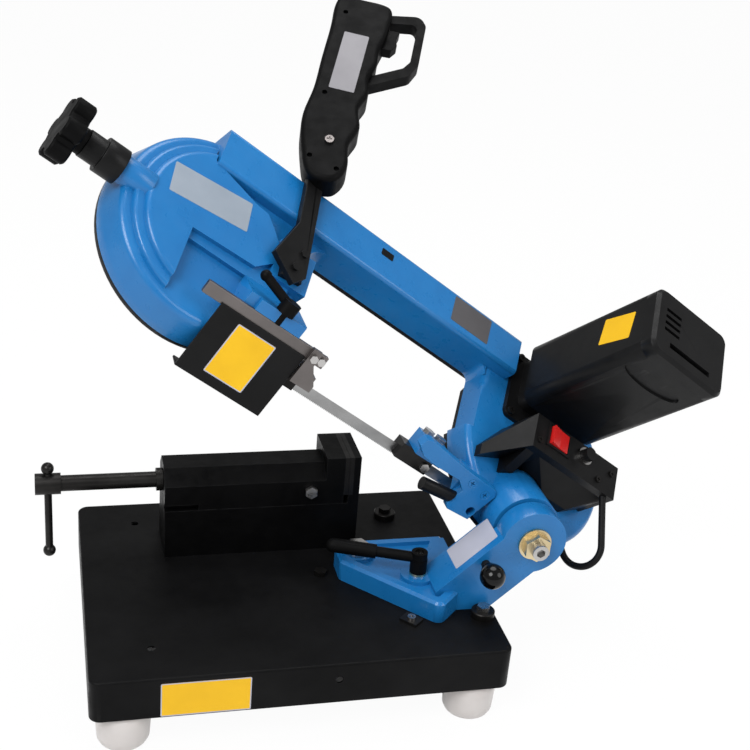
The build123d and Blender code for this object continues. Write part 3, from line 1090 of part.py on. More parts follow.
def bow_bolts():
    """Bolts of the handle stem and of the drive side guide, and the grip screws."""
    length = STEM_Z1 - PLATEAU_TOP + 11
    stem = [bolt(M5, (x, y, STEM_Z1), (0, 0, -1), length) for x, y in stem_bolt_places()]
    grip = [pan_screw(M5[0], 5.0, 2.5, (x, y, side * GRIP_HALF_T), (0, 0, -side), GRIP_HALF_T + 13)
            for x, y, side in grip_screws()]
    sunk = BRACKET_K0 + BRACKET_HEAD
    guide = [pan_screw(M6[0], BRACKET_HEAD_R, BRACKET_HEAD, (x, sunk, h), (0, 1, 0), BRACKET_K1 - sunk + 12)
             for x, h in bracket_bolt_places()]
    deep = BRACKET_ARM_H1 - GUIDE_BOLT_TIP
    guide.extend(bolt(M8, (x, 0, BRACKET_ARM_H1), (0, 0, -1), deep) for x in DRIVE_BOLTS)
    guide.append(bolt(M6, (SIDE_BOLT_X, -GUIDE_HALF, SIDE_BOLT_H), (0, 1, 0), 8.0))
    placed = [HANDLE_FRAME * piece for piece in stem] + [GRIP_FRAME * piece for piece in grip]
    return group(*placed, *[BLADE_FRAME * piece for piece in guide])


# Grip, in the grip frame: Z = 0 is the parting plane of its halves

def grip_screws():
    """Place of each grip screw and the half that its head sits on."""
    return [(6.0, 166.5, 1), (-2.0, 138.0, -1), (14.0, 300.0, -1)]


def grip_dimples():
    return [(-3.0, 356.0), (-9.0, 232.0), (-12.0, 142.0), (19.0, 130.0)]


def grip_outline():
    """Grip side view with finger bumps on the right."""
    fingers = [(22, 119), (30, 146), (28, 168), (36, 193), (32, 220), (39, 241), (37, 263), (43, 288),
               (43, 306), (48, 330), (50, 350)]
    top = [(51, 366), (48, 376), (40, 380), (18, 382), (-4, 383), (-12, 381)]
    back = [(-16, 372), (-17, 345), (-18.5, 310), (-20.5, 276), (-23, 234), (-28, 202), (-26, 170),
            (-20, 142), (-14, 125), (-6, 117), (8, 114)]
    return make_face(Spline(*fingers, *top, *back, periodic=True))


def finger_guard(z0, z1):
    """Loop that shields the fingers."""
    outer = [(40, 371), (84, 379), (92, 366), (90, 305), (82, 287), (32, 258)]
    inner = [(40, 359), (78, 365), (82, 359), (80, 307), (73, 296), (32, 272)]
    return rounded_loop(outer, LOOP_ROUND, z0, z1) - rounded_loop(inner, LOOP_INNER_ROUND, z0 - 1, z1 + 1)


def rounded_loop(points, radius, z0, z1):
    """Outline with its outer corners rounded, pulled from one height to another."""
    face = make_face(Polyline(*points, close=True))
    corners = [corner for corner in face.vertices() if corner.X > 60]
    return Pos(0, 0, z0) * extrude(fillet(corners, radius), z1 - z0)


def stem_socket():
    """Room of the stem in the grip, in the handle frame."""
    gap = 0.1
    return block(-STEM_HALF - gap, STEM_HALF + gap, 90, STEM_TOP + 0.2, STEM_Z0 - gap, STEM_Z1 + gap)


def grip_half(side):
    """One half shell of the grip: side 1 faces the user, side -1 the bow."""
    body = extrude(grip_outline(), side * GRIP_HALF_T)
    far_edges = body.edges().group_by(Axis.Z)[-1 if side > 0 else 0]
    body = fillet(far_edges, GRIP_ROUND)
    low, high = sorted((0, side * LOOP_HALF_T))
    body = body + finger_guard(low, high)
    inner_low, inner_high = sorted((-side, side * 12.0))
    body = body - prism([(-15, 190), (22, 190), (30, 262), (36, 330), (42, 358), (-8, 358), (-11, 300)],
                        inner_low, inner_high)
    body = body - trigger_slot()
    for x, y, head_side in grip_screws():
        if y > 190:
            body = body + rod(6.0, (x, y, 0), (x, y, side * 13))
        hole = M5[0] + (0.2 if side == head_side else THREAD_GAP)
        body = body - rod(hole, (x, y, head_side * 30), (x, y, -head_side * 13.5))
    if side > 0:
        for x, y in grip_dimples():
            body = body - rod(3.0, (x, y, GRIP_HALF_T - 4), (x, y, GRIP_HALF_T + 1))
    tube_room = block(TUBE_X0, TUBE_X1, 0, TUBE_Y1 + 1.5, 0, TUBE_FACE + 1.5)
    return GRIP_FRAME * body - HANDLE_FRAME * stem_socket() - WHEEL_FRAME * tube_room


def trigger_slot():
    return block(26, 70, TRIGGER_Y0, TRIGGER_Y1, -TRIGGER_HALF, TRIGGER_HALF)


def grip_front():
    return grip_half(1)


def grip_back():
    return grip_half(-1)


def trigger():
    """Trigger that pushes straight into the grip."""
    gap = 0.4
    low, high = TRIGGER_Y0 + gap, TRIGGER_Y1 - gap
    outline = [(33, low), (56, low), (62, low + 9), (60, low + 19), (63, high), (33, high)]
    return GRIP_FRAME * prism(outline, gap - TRIGGER_HALF, TRIGGER_HALF - gap)


# Tension

def tension_sleeve():
    """Two step spring sleeve, with a spigot face on the drum boss."""
    sleeve = rod(SLEEVE_R, (SLEEVE_STEP, 0, TENSION_Z), (SLEEVE_X1, 0, TENSION_Z))
    sleeve = sleeve + rod(SLEEVE_NECK_R, (SLEEVE_X0, 0, TENSION_Z), (SLEEVE_STEP, 0, TENSION_Z))
    start = (SLEEVE_X0 - 1, 0, TENSION_Z)
    sleeve = sleeve - rod(TENSION_R + 0.3, start, (SLEEVE_X1 + 1, 0, TENSION_Z))
    return WHEEL_FRAME * (sleeve - rod(SLEEVE_NECK_R - 3, start, (SLEEVE_STEP, 0, TENSION_Z)))


def spring_washers():
    """Stack of cupped spring washers inside the sleeve."""
    washers = []
    pitch = 3.4
    for i in range(5):
        x = SLEEVE_X0 + 1.0 + i * pitch
        profile = Polyline((TENSION_R + 0.5, 0.0), (TENSION_R + 0.5, 1.6), (SLEEVE_NECK_R - 3.5, 3.8),
                           (SLEEVE_NECK_R - 3.5, 2.2), close=True)
        washer = revolve(make_face(Plane.XZ * profile), Axis.Z)
        place = Plane(origin=(x, 0, TENSION_Z), z_dir=(1, 0, 0))
        washers.append(place * washer)
    return WHEEL_FRAME * group(*washers)


def tension_knob():
    """Lobed hand knob moulded on the tension screw."""
    face = Circle(KNOB_R - 9)
    for i in range(KNOB_LOBES):
        angle = radians(360 / KNOB_LOBES * i)
        face = face + Pos((KNOB_R - 11) * cos(angle), (KNOB_R - 11) * sin(angle)) * Circle(11)
    thick = KNOB_X1 - KNOB_X0
    knob = extrude(face, thick)
    knob = chamfer(knob.edges().group_by(Axis.Z)[-1] + knob.edges().group_by(Axis.Z)[0], 2.0)
    hub_end = SLEEVE_X0 - SLIDE
    knob = knob + Pos(0, 0, thick - 1) * extrude(Circle(14), hub_end - KNOB_X1 + 1)
    place = Plane(origin=(KNOB_X0, 0, TENSION_Z), x_dir=(0, 1, 0), z_dir=(1, 0, 0))
    knob = place * knob
    return WHEEL_FRAME * (knob + rod(TENSION_R, (KNOB_X0 + 8, 0, TENSION_Z), (CARRIAGE_X1 - 4, 0, TENSION_Z)))


# Blade and guides, in the blade frame

def strip(points):
    """Flat blade strip from a side outline, as thick as the band."""
    return side_prism(points, -BAND_T / 2, BAND_T / 2)


def straight_blade():
    """Visible run of the blade with its teeth."""
    x0, x1 = IDLER_X + TWIST_RUN[1], DRIVE_X - TWIST_RUN[1]
    low = -BAND_W / 2
    points = [(x1, BAND_W / 2), (x0, BAND_W / 2), (x0, low)]
    x = x0 + TOOTH_PITCH
    while x + TOOTH_PITCH < x1:
        points.append((x, low))
        points.append((x + 0.35 * TOOTH_PITCH, low + TOOTH_H))
        x = x + TOOTH_PITCH
    points.append((x1, low))
    return strip(points)


def twisted_blade(x_flat, x_upright):
    """Run of the band that turns from the wheel plane to upright."""
    lean = TILT - 90.0
    sections = []
    count = 6
    for i in range(count + 1):
        share = i / count
        x = x_flat + (x_upright - x_flat) * share
        place = Plane(origin=(x, 0, 0), x_dir=(0, 1, 0), z_dir=(1, 0, 0)).location
        sections.append(place * Rot(0, 0, -lean * (1 - share)) * Rectangle(BAND_T, BAND_W))
    return loft(sections, ruled=True)


def blade():
    """Endless band: two wheel arcs, top run, twisted runs and straight cutting run."""
    inner, outer = BAND_R - BAND_T / 2, BAND_R + BAND_T / 2
    half = BAND_W / 2
    left = tube(outer, inner, (IDLER_X, 0, -half), (IDLER_X, 0, half))
    left = left - block(IDLER_X, 0, -200, 200, -50, 50)
    right = tube(outer, inner, (DRIVE_X, 0, -half), (DRIVE_X, 0, half))
    right = right - block(-200, DRIVE_X, -200, 200, -50, 50)
    top = block(IDLER_X, DRIVE_X, inner, outer, -half, half)
    run = TWIST_RUN[0]
    low_left = block(IDLER_X, IDLER_X + run, -outer, -inner, -half, half)
    low_right = block(DRIVE_X - run, DRIVE_X, -outer, -inner, -half, half)
    band = WHEEL_FRAME * (left + top + right + low_left + low_right)
    twist_left = twisted_blade(IDLER_X + run, IDLER_X + TWIST_RUN[1])
    twist_right = twisted_blade(DRIVE_X - run, DRIVE_X - TWIST_RUN[1])
    return band + BLADE_FRAME * twist_left + BLADE_FRAME * straight_blade() + BLADE_FRAME * twist_right


def guide_bar():
    bar = block(BAR_X0, BAR_X1, BAR_K0, BAR_K1, BAR_H0, BAR_H1)
    for x, h in head_bolt_places():
        bar = bar - rod(M6[0] + THREAD_GAP, (x, BAR_K0 - 1, h), (x, BAR_K1 + 1, h))
    return BLADE_FRAME * bar


def blade_guard():
    """Folded sheet guard welded to the front of the guide bar."""
    front = BAR_K0 - GUARD_T
    top = BAR_H0 + GUARD_LAP
    sheet = block(GUARD_X0, GUARD_X1, front, BAR_K0, GUARD_H0, top)
    sheet = sheet + block(GUARD_X0, GUARD_X1, front, -22, GUARD_H0, GUARD_H0 + GUARD_T)
    sheet = sheet + block(GUARD_X1 - GUARD_T, GUARD_X1, front, -6, GUARD_H0, BAR_H0 - 5)
    return BLADE_FRAME * sheet


def head_bolt_places():
    middle = (BAR_H0 + BAR_H1) / 2
    return [(HEAD_X0 + 5.5, middle), (HEAD_X0 + 16.5, middle)]


def guide_head():
    """Steel bracket on the bar end that reaches down to the blade."""
    outline = [(HEAD_X0, HEAD_H0), (HEAD_X1, HEAD_H0), (HEAD_X1, HEAD_H0 + 8), (HEAD_TOP_X, BAR_H0),
               (HEAD_TOP_X, HEAD_H1), (HEAD_X0, HEAD_H1)]
    plate = side_prism(outline, BAR_K0 - HEAD_T, BAR_K0)
    arm = block(IDLER_GUIDE_X0, IDLER_GUIDE_X1, BAR_K0 - 1, GUIDE_HALF + 1, HEAD_H0, HEAD_ARM_H1)
    head = plate + arm
    for x, h in head_bolt_places():
        head = head - rod(M6[0] + 0.2, (x, BAR_K0 - HEAD_T - 1, h), (x, BAR_K0 + 1, h))
    hole = rod(M6[0] + 0.2, (IDLER_BOLT_X, 0, HEAD_H0 - 1), (IDLER_BOLT_X, 0, HEAD_ARM_H1 + 1))
    return BLADE_FRAME * (head - hole)


def guide_bolts():
    """Bolts of the idler side guide."""
    small = (M6[0], 8.0, M6[2])
    bar_t = BAR_K1 - BAR_K0
    seats = (HEAD_T, 0.0)
    bolts = [bolt(small, (x, BAR_K0 - seat, h), (0, 1, 0), seat + bar_t)
             for seat, (x, h) in zip(seats, head_bolt_places())]
    bolts.append(bolt(M6, (IDLER_BOLT_X, 0, HEAD_ARM_H1), (0, 0, -1), HEAD_ARM_H1 - GUIDE_BOLT_TIP))
    return BLADE_FRAME * group(*bolts)


def guide_block(x0, x1, bolts, radius, top):
    """Guide block with a slit for the blade and holes for its bolts."""
    body = block(x0, x1, -GUIDE_HALF, GUIDE_HALF, GUIDE_LOW, top)
    body = body - block(x0 - 1, x1 + 1, -GUIDE_SLOT, GUIDE_SLOT, GUIDE_LOW - 1, BAND_W / 2 + 0.4)
    for x in bolts:
        body = body - rod(radius + THREAD_GAP, (x, 0, GUIDE_BOLT_TIP - 0.5), (x, 0, top + 1))
    return body


def idler_guide():
    return BLADE_FRAME * guide_block(IDLER_GUIDE_X0, IDLER_GUIDE_X1, (IDLER_BOLT_X,), M6[0], HEAD_H0)


def drive_guide():
    body = guide_block(DRIVE_GUIDE_X0, DRIVE_GUIDE_X1, DRIVE_BOLTS, M8[0], DRIVE_GUIDE_TOP)
    x, h = SIDE_BOLT_X, SIDE_BOLT_H
    side_hole = rod(M6[0] + THREAD_GAP, (x, -GUIDE_HALF - 1, h), (x, -2.5, h))
    return BLADE_FRAME * (body - side_hole)


def bracket_bolt_places():
    return [(-80.0, 24.0), (-58.0, 20.0)]


def lock_hole(k):
    """Point of the lock pin hole at a given depth, in the blade frame."""
    turn = radians(LOWEST)
    x, z = LOCK_X - HINGE_X, LOCK_Z - HINGE_Z
    level_x = x * cos(turn) - z * sin(turn)
    level_z = x * sin(turn) + z * cos(turn)
    return (HINGE_X - BLADE_X + level_x, k, HINGE_Z - BLADE_Z + level_z)


def drive_bracket():
    """Curved cast bracket that holds the drive side guide."""
    plate = side_prism(BRACKET_SHAPE, BRACKET_K0, BRACKET_K1)
    arm = block(DRIVE_BOLTS[0] - 9, DRIVE_BOLTS[1] + 9, BRACKET_K1 - 1, GUIDE_HALF - 2,
                DRIVE_GUIDE_TOP, BRACKET_ARM_H1)
    body = plate + arm
    for x, h in bracket_bolt_places():
        body = body - rod(M6[0] + 0.2, (x, BRACKET_K0 - 1, h), (x, BRACKET_K1 + 1, h))
        body = body - rod(BRACKET_HEAD_R + 0.2, (x, BRACKET_K0 - 1, h), (x, BRACKET_K0 + BRACKET_HEAD, h))
    body = body - rod(LOCK_R + 0.4, lock_hole(BRACKET_K0 - 1), lock_hole(BRACKET_K1 + 1))
    for x in DRIVE_BOLTS:
        body = body - rod(M8[0] + 0.2, (x, 0, DRIVE_GUIDE_TOP - 1), (x, 0, BRACKET_ARM_H1 + 1))
    return BLADE_FRAME * body


def chip_brush():
    """Black round brush holder under the bracket."""
    holder = rod(7.5, (-128, -30.5, -8), (-80, -30.5, -2))
    return BLADE_FRAME * (holder - side_prism(BRACKET_SHAPE, -60, 0))


def clamp_screw_place():
    return (CLAMP_SCREW_X, (BAR_K0 + BAR_K1) / 2)


def bar_clamp():
    """Small lever screw that clamps the guide bar."""
    x, k = clamp_screw_place()
    low = SEAT_H1 + SLIDE
    screw = rod(M8[0], (x, k, BAR_H1 + 0.1), (x, k, low + 4))
    hub = rod(10.0, (x, k, low), (x, k, low + 14))
    tip = (x - 34, k + 16, low + 18)
    start = (x, k, low + 9)
    way = (Vector(*tip) - Vector(*start)).normalized()
    arm = rod(5.0, start, tip) + Plane(origin=tip, z_dir=tuple(way)) * Sphere(6.0)
    return BLADE_FRAME * (screw + hub + arm)


BASE = (
    base_tray, feet, foot_screws, base_nuts, base_bolts, mitre_pivot, mitre_stops, vise_bed, vise_nut,
    fixed_jaw_plate, vise_slide, slide_bolts, moving_jaw_plate, vise_screw, screw_collar, tbar, swivel_arm,
    hinge_pin, hinge_fasteners, lock_pin, lock_ball, clamp_stud, clamp_lever)

BOW = (
    bow_frame, rear_cover, cover_screws, idler_carriage, idler_wheel, idler_axle, drive_wheel, drive_axle,
    drive_gear, motor_rotor, motor_flange, motor_screws, motor_housing, motor_cap, stator, switch_box, rocker,
    gland, switch_lead, handle_stem, bow_bolts, grip_front, grip_back, trigger, tension_sleeve,
    spring_washers, tension_knob, blade, guide_bar, blade_guard, guide_bolts, guide_head, idler_guide,
    drive_guide, drive_bracket, chip_brush, bar_clamp)


def centre_move(shapes):
    """Move that puts the middle of the whole saw over the origin."""
    boxes = [shape.bounding_box() for shape in shapes]
    x = (min(box.min.X for box in boxes) + max(box.max.X for box in boxes)) / 2
    y = (min(box.min.Y for box in boxes) + max(box.max.Y for box in boxes)) / 2
    return Pos(-x, -y, 0)


PIECES = {make.__name__: make() for make in BASE}
PIECES.update({make.__name__: RAISE * make() for make in BOW})
CENTRE = centre_move(PIECES.values())

os.makedirs("parts", exist_ok=True)
for node, piece in PIECES.items():
    export_step(CENTRE * piece, "parts/" + node + ".step")
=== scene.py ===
"""Looks of the portable metal cutting band saw: materials, blank plates, studio and camera."""
import json
import math

import bmesh
import bpy
from mathutils import Matrix, Vector


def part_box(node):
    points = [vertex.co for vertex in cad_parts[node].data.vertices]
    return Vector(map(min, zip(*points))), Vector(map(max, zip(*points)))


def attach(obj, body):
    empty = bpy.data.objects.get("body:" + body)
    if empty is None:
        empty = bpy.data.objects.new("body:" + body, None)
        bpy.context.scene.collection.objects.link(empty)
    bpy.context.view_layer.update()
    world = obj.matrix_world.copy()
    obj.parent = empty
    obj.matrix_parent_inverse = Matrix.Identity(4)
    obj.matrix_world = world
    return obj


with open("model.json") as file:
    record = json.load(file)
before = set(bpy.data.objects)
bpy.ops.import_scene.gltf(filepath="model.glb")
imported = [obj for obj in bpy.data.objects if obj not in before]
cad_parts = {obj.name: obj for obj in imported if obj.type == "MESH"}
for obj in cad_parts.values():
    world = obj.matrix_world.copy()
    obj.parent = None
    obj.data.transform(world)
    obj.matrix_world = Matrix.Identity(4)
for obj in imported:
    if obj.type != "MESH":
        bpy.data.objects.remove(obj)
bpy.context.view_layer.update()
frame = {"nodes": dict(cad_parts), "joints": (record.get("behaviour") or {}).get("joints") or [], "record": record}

MM = 0.001
NODES = frame["nodes"]
JOINTS = {joint["name"]: joint for joint in frame["joints"]}

# Frames of the saw: the arm's pivot on the tray, the wheels (W), the blade (B) and the grip (G)
PIVOT = Vector(JOINTS["swivel"]["pos_m"])
HINGE = Vector(JOINTS["bow_hinge"]["pos_m"])
ALONG = Vector(JOINTS["carriage_slide"]["axis"])
FACING = Vector(JOINTS["drive_turn"]["axis"])
RISING = FACING.cross(ALONG)
BLADE_UP = Vector(JOINTS["bar_clamp_turn"]["axis"])
BACK = Vector((0, 1, 0))
PIVOT_X, DRIVE_X = 86.0, 11.0
CLAMP_SCREW = (-380.0, -38.0, 66.0)
GRIP_PLACE, GRIP_LEAN, GRIP_TURN = (-372.0, -5.0, 60.0), math.radians(7), math.radians(32)
BEAM_SLOPE = math.radians(42)

# Camera of the photograph, in metres from the pivot
CAMERA_FROM_PIVOT = Vector((-0.33572, -1.22930, 0.79278))
CAMERA_RIGHT = Vector((0.96995, -0.23008, 0.07917))
CAMERA_UP = Vector((0.02467, 0.41670, 0.90871))
CAMERA_LENS, CAMERA_SENSOR = 62.7, 36.0

# Studio: floor with a dark patch hidden under the tray, light; metres and watts
FLOOR_SIZE, FLOOR_COLOUR, FLOOR_ROUGHNESS = 40.0, (0.9, 0.9, 0.9, 1), 0.7
FLOOR_GLOW, DARK_FRONT, DARK_SOFT = 0.96, 0.057, 0.016
AMBIENT = 0.42
LAMPS = [
    ("key", (-1.5, -1.5, 2.3), 1.6, 62.0),
    ("fill", (1.9, -1.6, 1.5), 1.6, 22.0),
    ("top", (0.2, 0.5, 2.6), 1.8, 34.0),
]
LAMP_AIM = Vector((0.0, -0.05, 0.3))

# Small pieces that differ from the rest of their node: places in mm, in the frame that each is used in
STEM_BOLTS = [(-6, 6, 61), (2, 26, 61)]
BRACKET_SCREWS = [(-80, -33, 24), (-58, -33, 20)]
GRIP_SCREW = (6, 166.5, 18)
DARK_BOLTS = [(43.4, -5.3), (146.5, 111.6)]
GLAND_CAP_Z = 89.2
SCREW_REACH, BOLT_REACH = 8, 30

# Blank plates: place in mm, width, height
SKIRT_PLATE, SKIRT_SIZE = (115.5, 21.0), (91, 40)
BEAM_PLATE, BEAM_SIZE = (54.9, 30.0, -1.0), (58.2, 38)
DOME_PLATE, DOME_SIZE, DOME_LEAN = (-485, 26, 46), (94, 36), math.radians(7)
TUBE_PLATE, TUBE_SIZE = (-138, 94, 50), (58, 34)
TUBE_BADGE, BADGE_SIZE = (-270, 100, 50), (17, 9)
MOTOR_PLATE, MOTOR_SIZE, MOTOR_LEAN = (-47, 79, 195), (46, 34), math.radians(-10)
GUARD_PLATE, GUARD_SIZE = (-389.5, -43, 3), (47, 60)
GRIP_PLATE, GRIP_SIZE, GRIP_PLATE_LEAN = (11.5, 282, 18), (29, 86), math.radians(-4)
PLATE_CORNER, PLATE_SINK, PLATE_RISE, PLATE_MARGIN, CORNER_STEPS = 1.5, 0.2, 0.2, 1.2, 5

# Rounding of sharp edges, and width of the paler edges (wear and painted edge highlight), in metres
ROUNDING, ROUNDING_ANGLE, WELD, EDGE_SEGMENTS = 0.0007, math.radians(32), 0.00002, 2
SHEEN_AND_WEAR_WIDTH, SHEEN_AND_WEAR_SAMPLES = 0.0012, 4

# Paint and metal colours, linear
BLUE, BLUE_DEEP = (0.009, 0.150, 0.400), (0.006, 0.128, 0.360)
BLACK, BLACK_WORN = (0.0032, 0.0032, 0.0034), (0.0060, 0.0060, 0.0063)
JET, JET_WORN = (0.0014, 0.0014, 0.0015), (0.0028, 0.0028, 0.0030)
# Paler edge colours: partly wear, partly a painted edge highlight
EDGE_BLACK_SHEEN_AND_WEAR, EDGE_BLUE_SHEEN_AND_WEAR = (0.022, 0.022, 0.023), (0.022, 0.190, 0.450)
DULL_STEEL, DULL_STEEL_WORN = (0.21, 0.19, 0.185), (0.15, 0.138, 0.134)
STEEL, STEEL_DULL = (0.62, 0.61, 0.60), (0.46, 0.45, 0.44)
ZINC, ZINC_DULL = (0.80, 0.68, 0.44), (0.62, 0.50, 0.30)
DARK_STEEL, DARK_STEEL_WORN = (0.016, 0.015, 0.0145), (0.030, 0.029, 0.028)
BAND, BAND_DULL = (0.40, 0.40, 0.40), (0.25, 0.25, 0.25)
ALLOY, ALLOY_DULL = (0.66, 0.66, 0.65), (0.52, 0.52, 0.51)
MILK, MILK_DULL = (0.58, 0.55, 0.535), (0.50, 0.465, 0.45)
RED, RED_DEEP = (0.60, 0.018, 0.015), (0.48, 0.010, 0.010)
YELLOW, YELLOW_DULL = (0.78, 0.46, 0.011), (0.70, 0.40, 0.009)
GREY, GREY_DULL = (0.088, 0.085, 0.090), (0.070, 0.068, 0.072)
SILVER, SILVER_DULL = (0.27, 0.31, 0.365), (0.23, 0.27, 0.32)
WHITE, WHITE_DULL = (0.42, 0.43, 0.51), (0.36, 0.37, 0.44)
PALE, PALE_DULL = (0.23, 0.225, 0.24), (0.19, 0.185, 0.20)

# Gloss settings
SATIN = {"Specular IOR Level": 0.16}
DEEP = {"Specular IOR Level": 0.07}
FILM = {"Specular IOR Level": 0.20}
GLOSS = {"Specular IOR Level": 0.25}
PAINT = {"Specular IOR Level": 0.35, "Coat Weight": 0.22, "Coat Roughness": 0.14}
MILKY = {"Subsurface Weight": 0.35, "Subsurface Radius": (0.006, 0.006, 0.006)}

# Noises: waves per metre, detail
PATCHES, SMEARS, SHEEN_AND_WEAR_PATCHES = (14.0, 6.0), (70.0, 4.0), (60, 5.0)
GRAIN_DETAIL, NOISE_ROUGHNESS = 2.0, 0.55

# Likeness of a face and its rounded self, from fully pale edge to plain face, and the least paleness of an edge;
# the pale edges are wear and painted edge highlight
SHEEN_AND_WEAR_LIKENESS, PLAIN, LEAST_SHEEN_AND_WEAR = 0.86, 0.99, 0.1

# Grains: waves per metre, strength, depth in metres
CAST = [(150, 0.25, 0.0006), (900, 0.12, 0.0002)]
POWDER = [(60, 0.06, 0.001), (1500, 0.25, 0.0002)]
MOULDED = [(1800, 0.20, 0.00015)]
BRUSHED = [(500, 0.10, 0.0001)]
FINE = [(700, 0.05, 0.0001)]
ALONG_U = (0.1, 1, 1)

# Nodes whose finish differs from their slot, and nodes whose sharp edges are rounded
NODE_FINISH = {
    "guide_bar": "dull_steel", "guide_head": "dull_steel", "mitre_stops": "dark_steel",
    "lock_pin": "dark_steel", "lock_ball": "ball_plastic",
}
ROUNDED = [
    "base_tray", "vise_bed", "vise_slide", "swivel_arm", "bow_frame", "motor_housing", "motor_cap",
    "motor_flange", "switch_box", "drive_bracket", "guide_bar", "blade_guard", "handle_stem",
    "tension_sleeve", "tension_knob", "rear_cover", "chip_brush", "drive_guide", "idler_guide", "rocker",
    "trigger", "feet",
]


def set_inputs(node, values):
    for name, value in values.items():
        node.inputs[name].default_value = value


def noise(tree, scale, detail, stretch=(1, 1, 1)):
    """Noise over the object's own metres; scale is in waves per metre."""
    place = tree.nodes.new("ShaderNodeTexCoord")
    mapping = tree.nodes.new("ShaderNodeMapping")
    mapping.inputs["Scale"].default_value = stretch
    texture = tree.nodes.new("ShaderNodeTexNoise")
    set_inputs(texture, {"Scale": scale, "Detail": detail, "Roughness": NOISE_ROUGHNESS})
    tree.links.new(place.outputs["Object"], mapping.inputs["Vector"])
    tree.links.new(mapping.outputs["Vector"], texture.inputs["Vector"])
    return texture.outputs["Fac"]


def spread(tree, source, low, high, start=0.35, end=0.65):
    """The noise between start and end, stretched to run from low to high."""
    node = tree.nodes.new("ShaderNodeMapRange")
    set_inputs(node, {"From Min": start, "From Max": end, "To Min": low, "To Max": high})
    tree.links.new(source, node.inputs["Value"])
    return node.outputs["Result"]


def combine(tree, operation, first, second):
    """Two values joined by a math operation."""
    node = tree.nodes.new("ShaderNodeMath")
    node.operation = operation
    tree.links.new(first, node.inputs[0])
    tree.links.new(second, node.inputs[1])
    return node.outputs["Value"]


def two_tone(tree, factor, first, second):
    """Mix of two colours; the first is a colour or another node's output."""
    node = tree.nodes.new("ShaderNodeMix")
    node.data_type = "RGBA"
    start, end = [socket for socket in node.inputs if socket.type == "RGBA"]
    if isinstance(first, bpy.types.NodeSocket):
        tree.links.new(first, start)
    else:
        start.default_value = (*first, 1)
    end.default_value = (*second, 1)
    tree.links.new(factor, node.inputs[0])
    return [socket for socket in node.outputs if socket.type == "RGBA"][0]


def relief(tree, height, strength, depth, below=None):
    """Bump of a height given in metres of depth, on top of another bump."""
    node = tree.nodes.new("ShaderNodeBump")
    set_inputs(node, {"Strength": strength, "Distance": depth})
    tree.links.new(height, node.inputs["Height"])
    if below is not None:
        tree.links.new(below, node.inputs["Normal"])
    return node.outputs["Normal"]


def edge_sheen_and_wear(tree):
    """Mask of paler edges, partly wear and partly painted edge highlight: 0 on faces and up to 1 along edges, in
    uneven patches.
    """
    rounded = tree.nodes.new("ShaderNodeBevel")
    rounded.samples = SHEEN_AND_WEAR_SAMPLES
    rounded.inputs["Radius"].default_value = SHEEN_AND_WEAR_WIDTH
    plain = tree.nodes.new("ShaderNodeNewGeometry")
    likeness = tree.nodes.new("ShaderNodeVectorMath")
    likeness.operation = "DOT_PRODUCT"
    tree.links.new(rounded.outputs["Normal"], likeness.inputs[0])
    tree.links.new(plain.outputs["Normal"], likeness.inputs[1])
    edge = spread(tree, likeness.outputs["Value"], 1, 0, SHEEN_AND_WEAR_LIKENESS, PLAIN)
    return combine(tree, "MULTIPLY", edge, spread(tree, noise(tree, *SHEEN_AND_WEAR_PATCHES), LEAST_SHEEN_AND_WEAR, 1))


def surface(name, colours, roughness, grain, metallic=0.0, stretch=(1, 1, 1), worn=None, settings=None):
    """Material with two colours in soft patches, uneven gloss, a grain and, if an edge colour is given, paler
    edges: partly wear, partly painted edge highlight.
    """
    material = bpy.data.materials.new(name)
    material.use_nodes = True
    tree = material.node_tree
    shader = tree.nodes["Principled BSDF"]
    set_inputs(shader, {"Metallic": metallic, **(settings or {})})
    colour = two_tone(tree, spread(tree, noise(tree, *PATCHES), 0, 1), *colours)
    # Paler edges: partly wear, partly a painted edge highlight
    if worn is not None:
        colour = two_tone(tree, edge_sheen_and_wear(tree), colour, worn)
    tree.links.new(colour, shader.inputs["Base Color"])
    tree.links.new(spread(tree, noise(tree, *SMEARS, stretch), *roughness), shader.inputs["Roughness"])
    normal = None
    for waves, strength, depth in grain:
        normal = relief(tree, noise(tree, waves, GRAIN_DETAIL, stretch), strength, depth, normal)
    tree.links.new(normal, shader.inputs["Normal"])
    return material


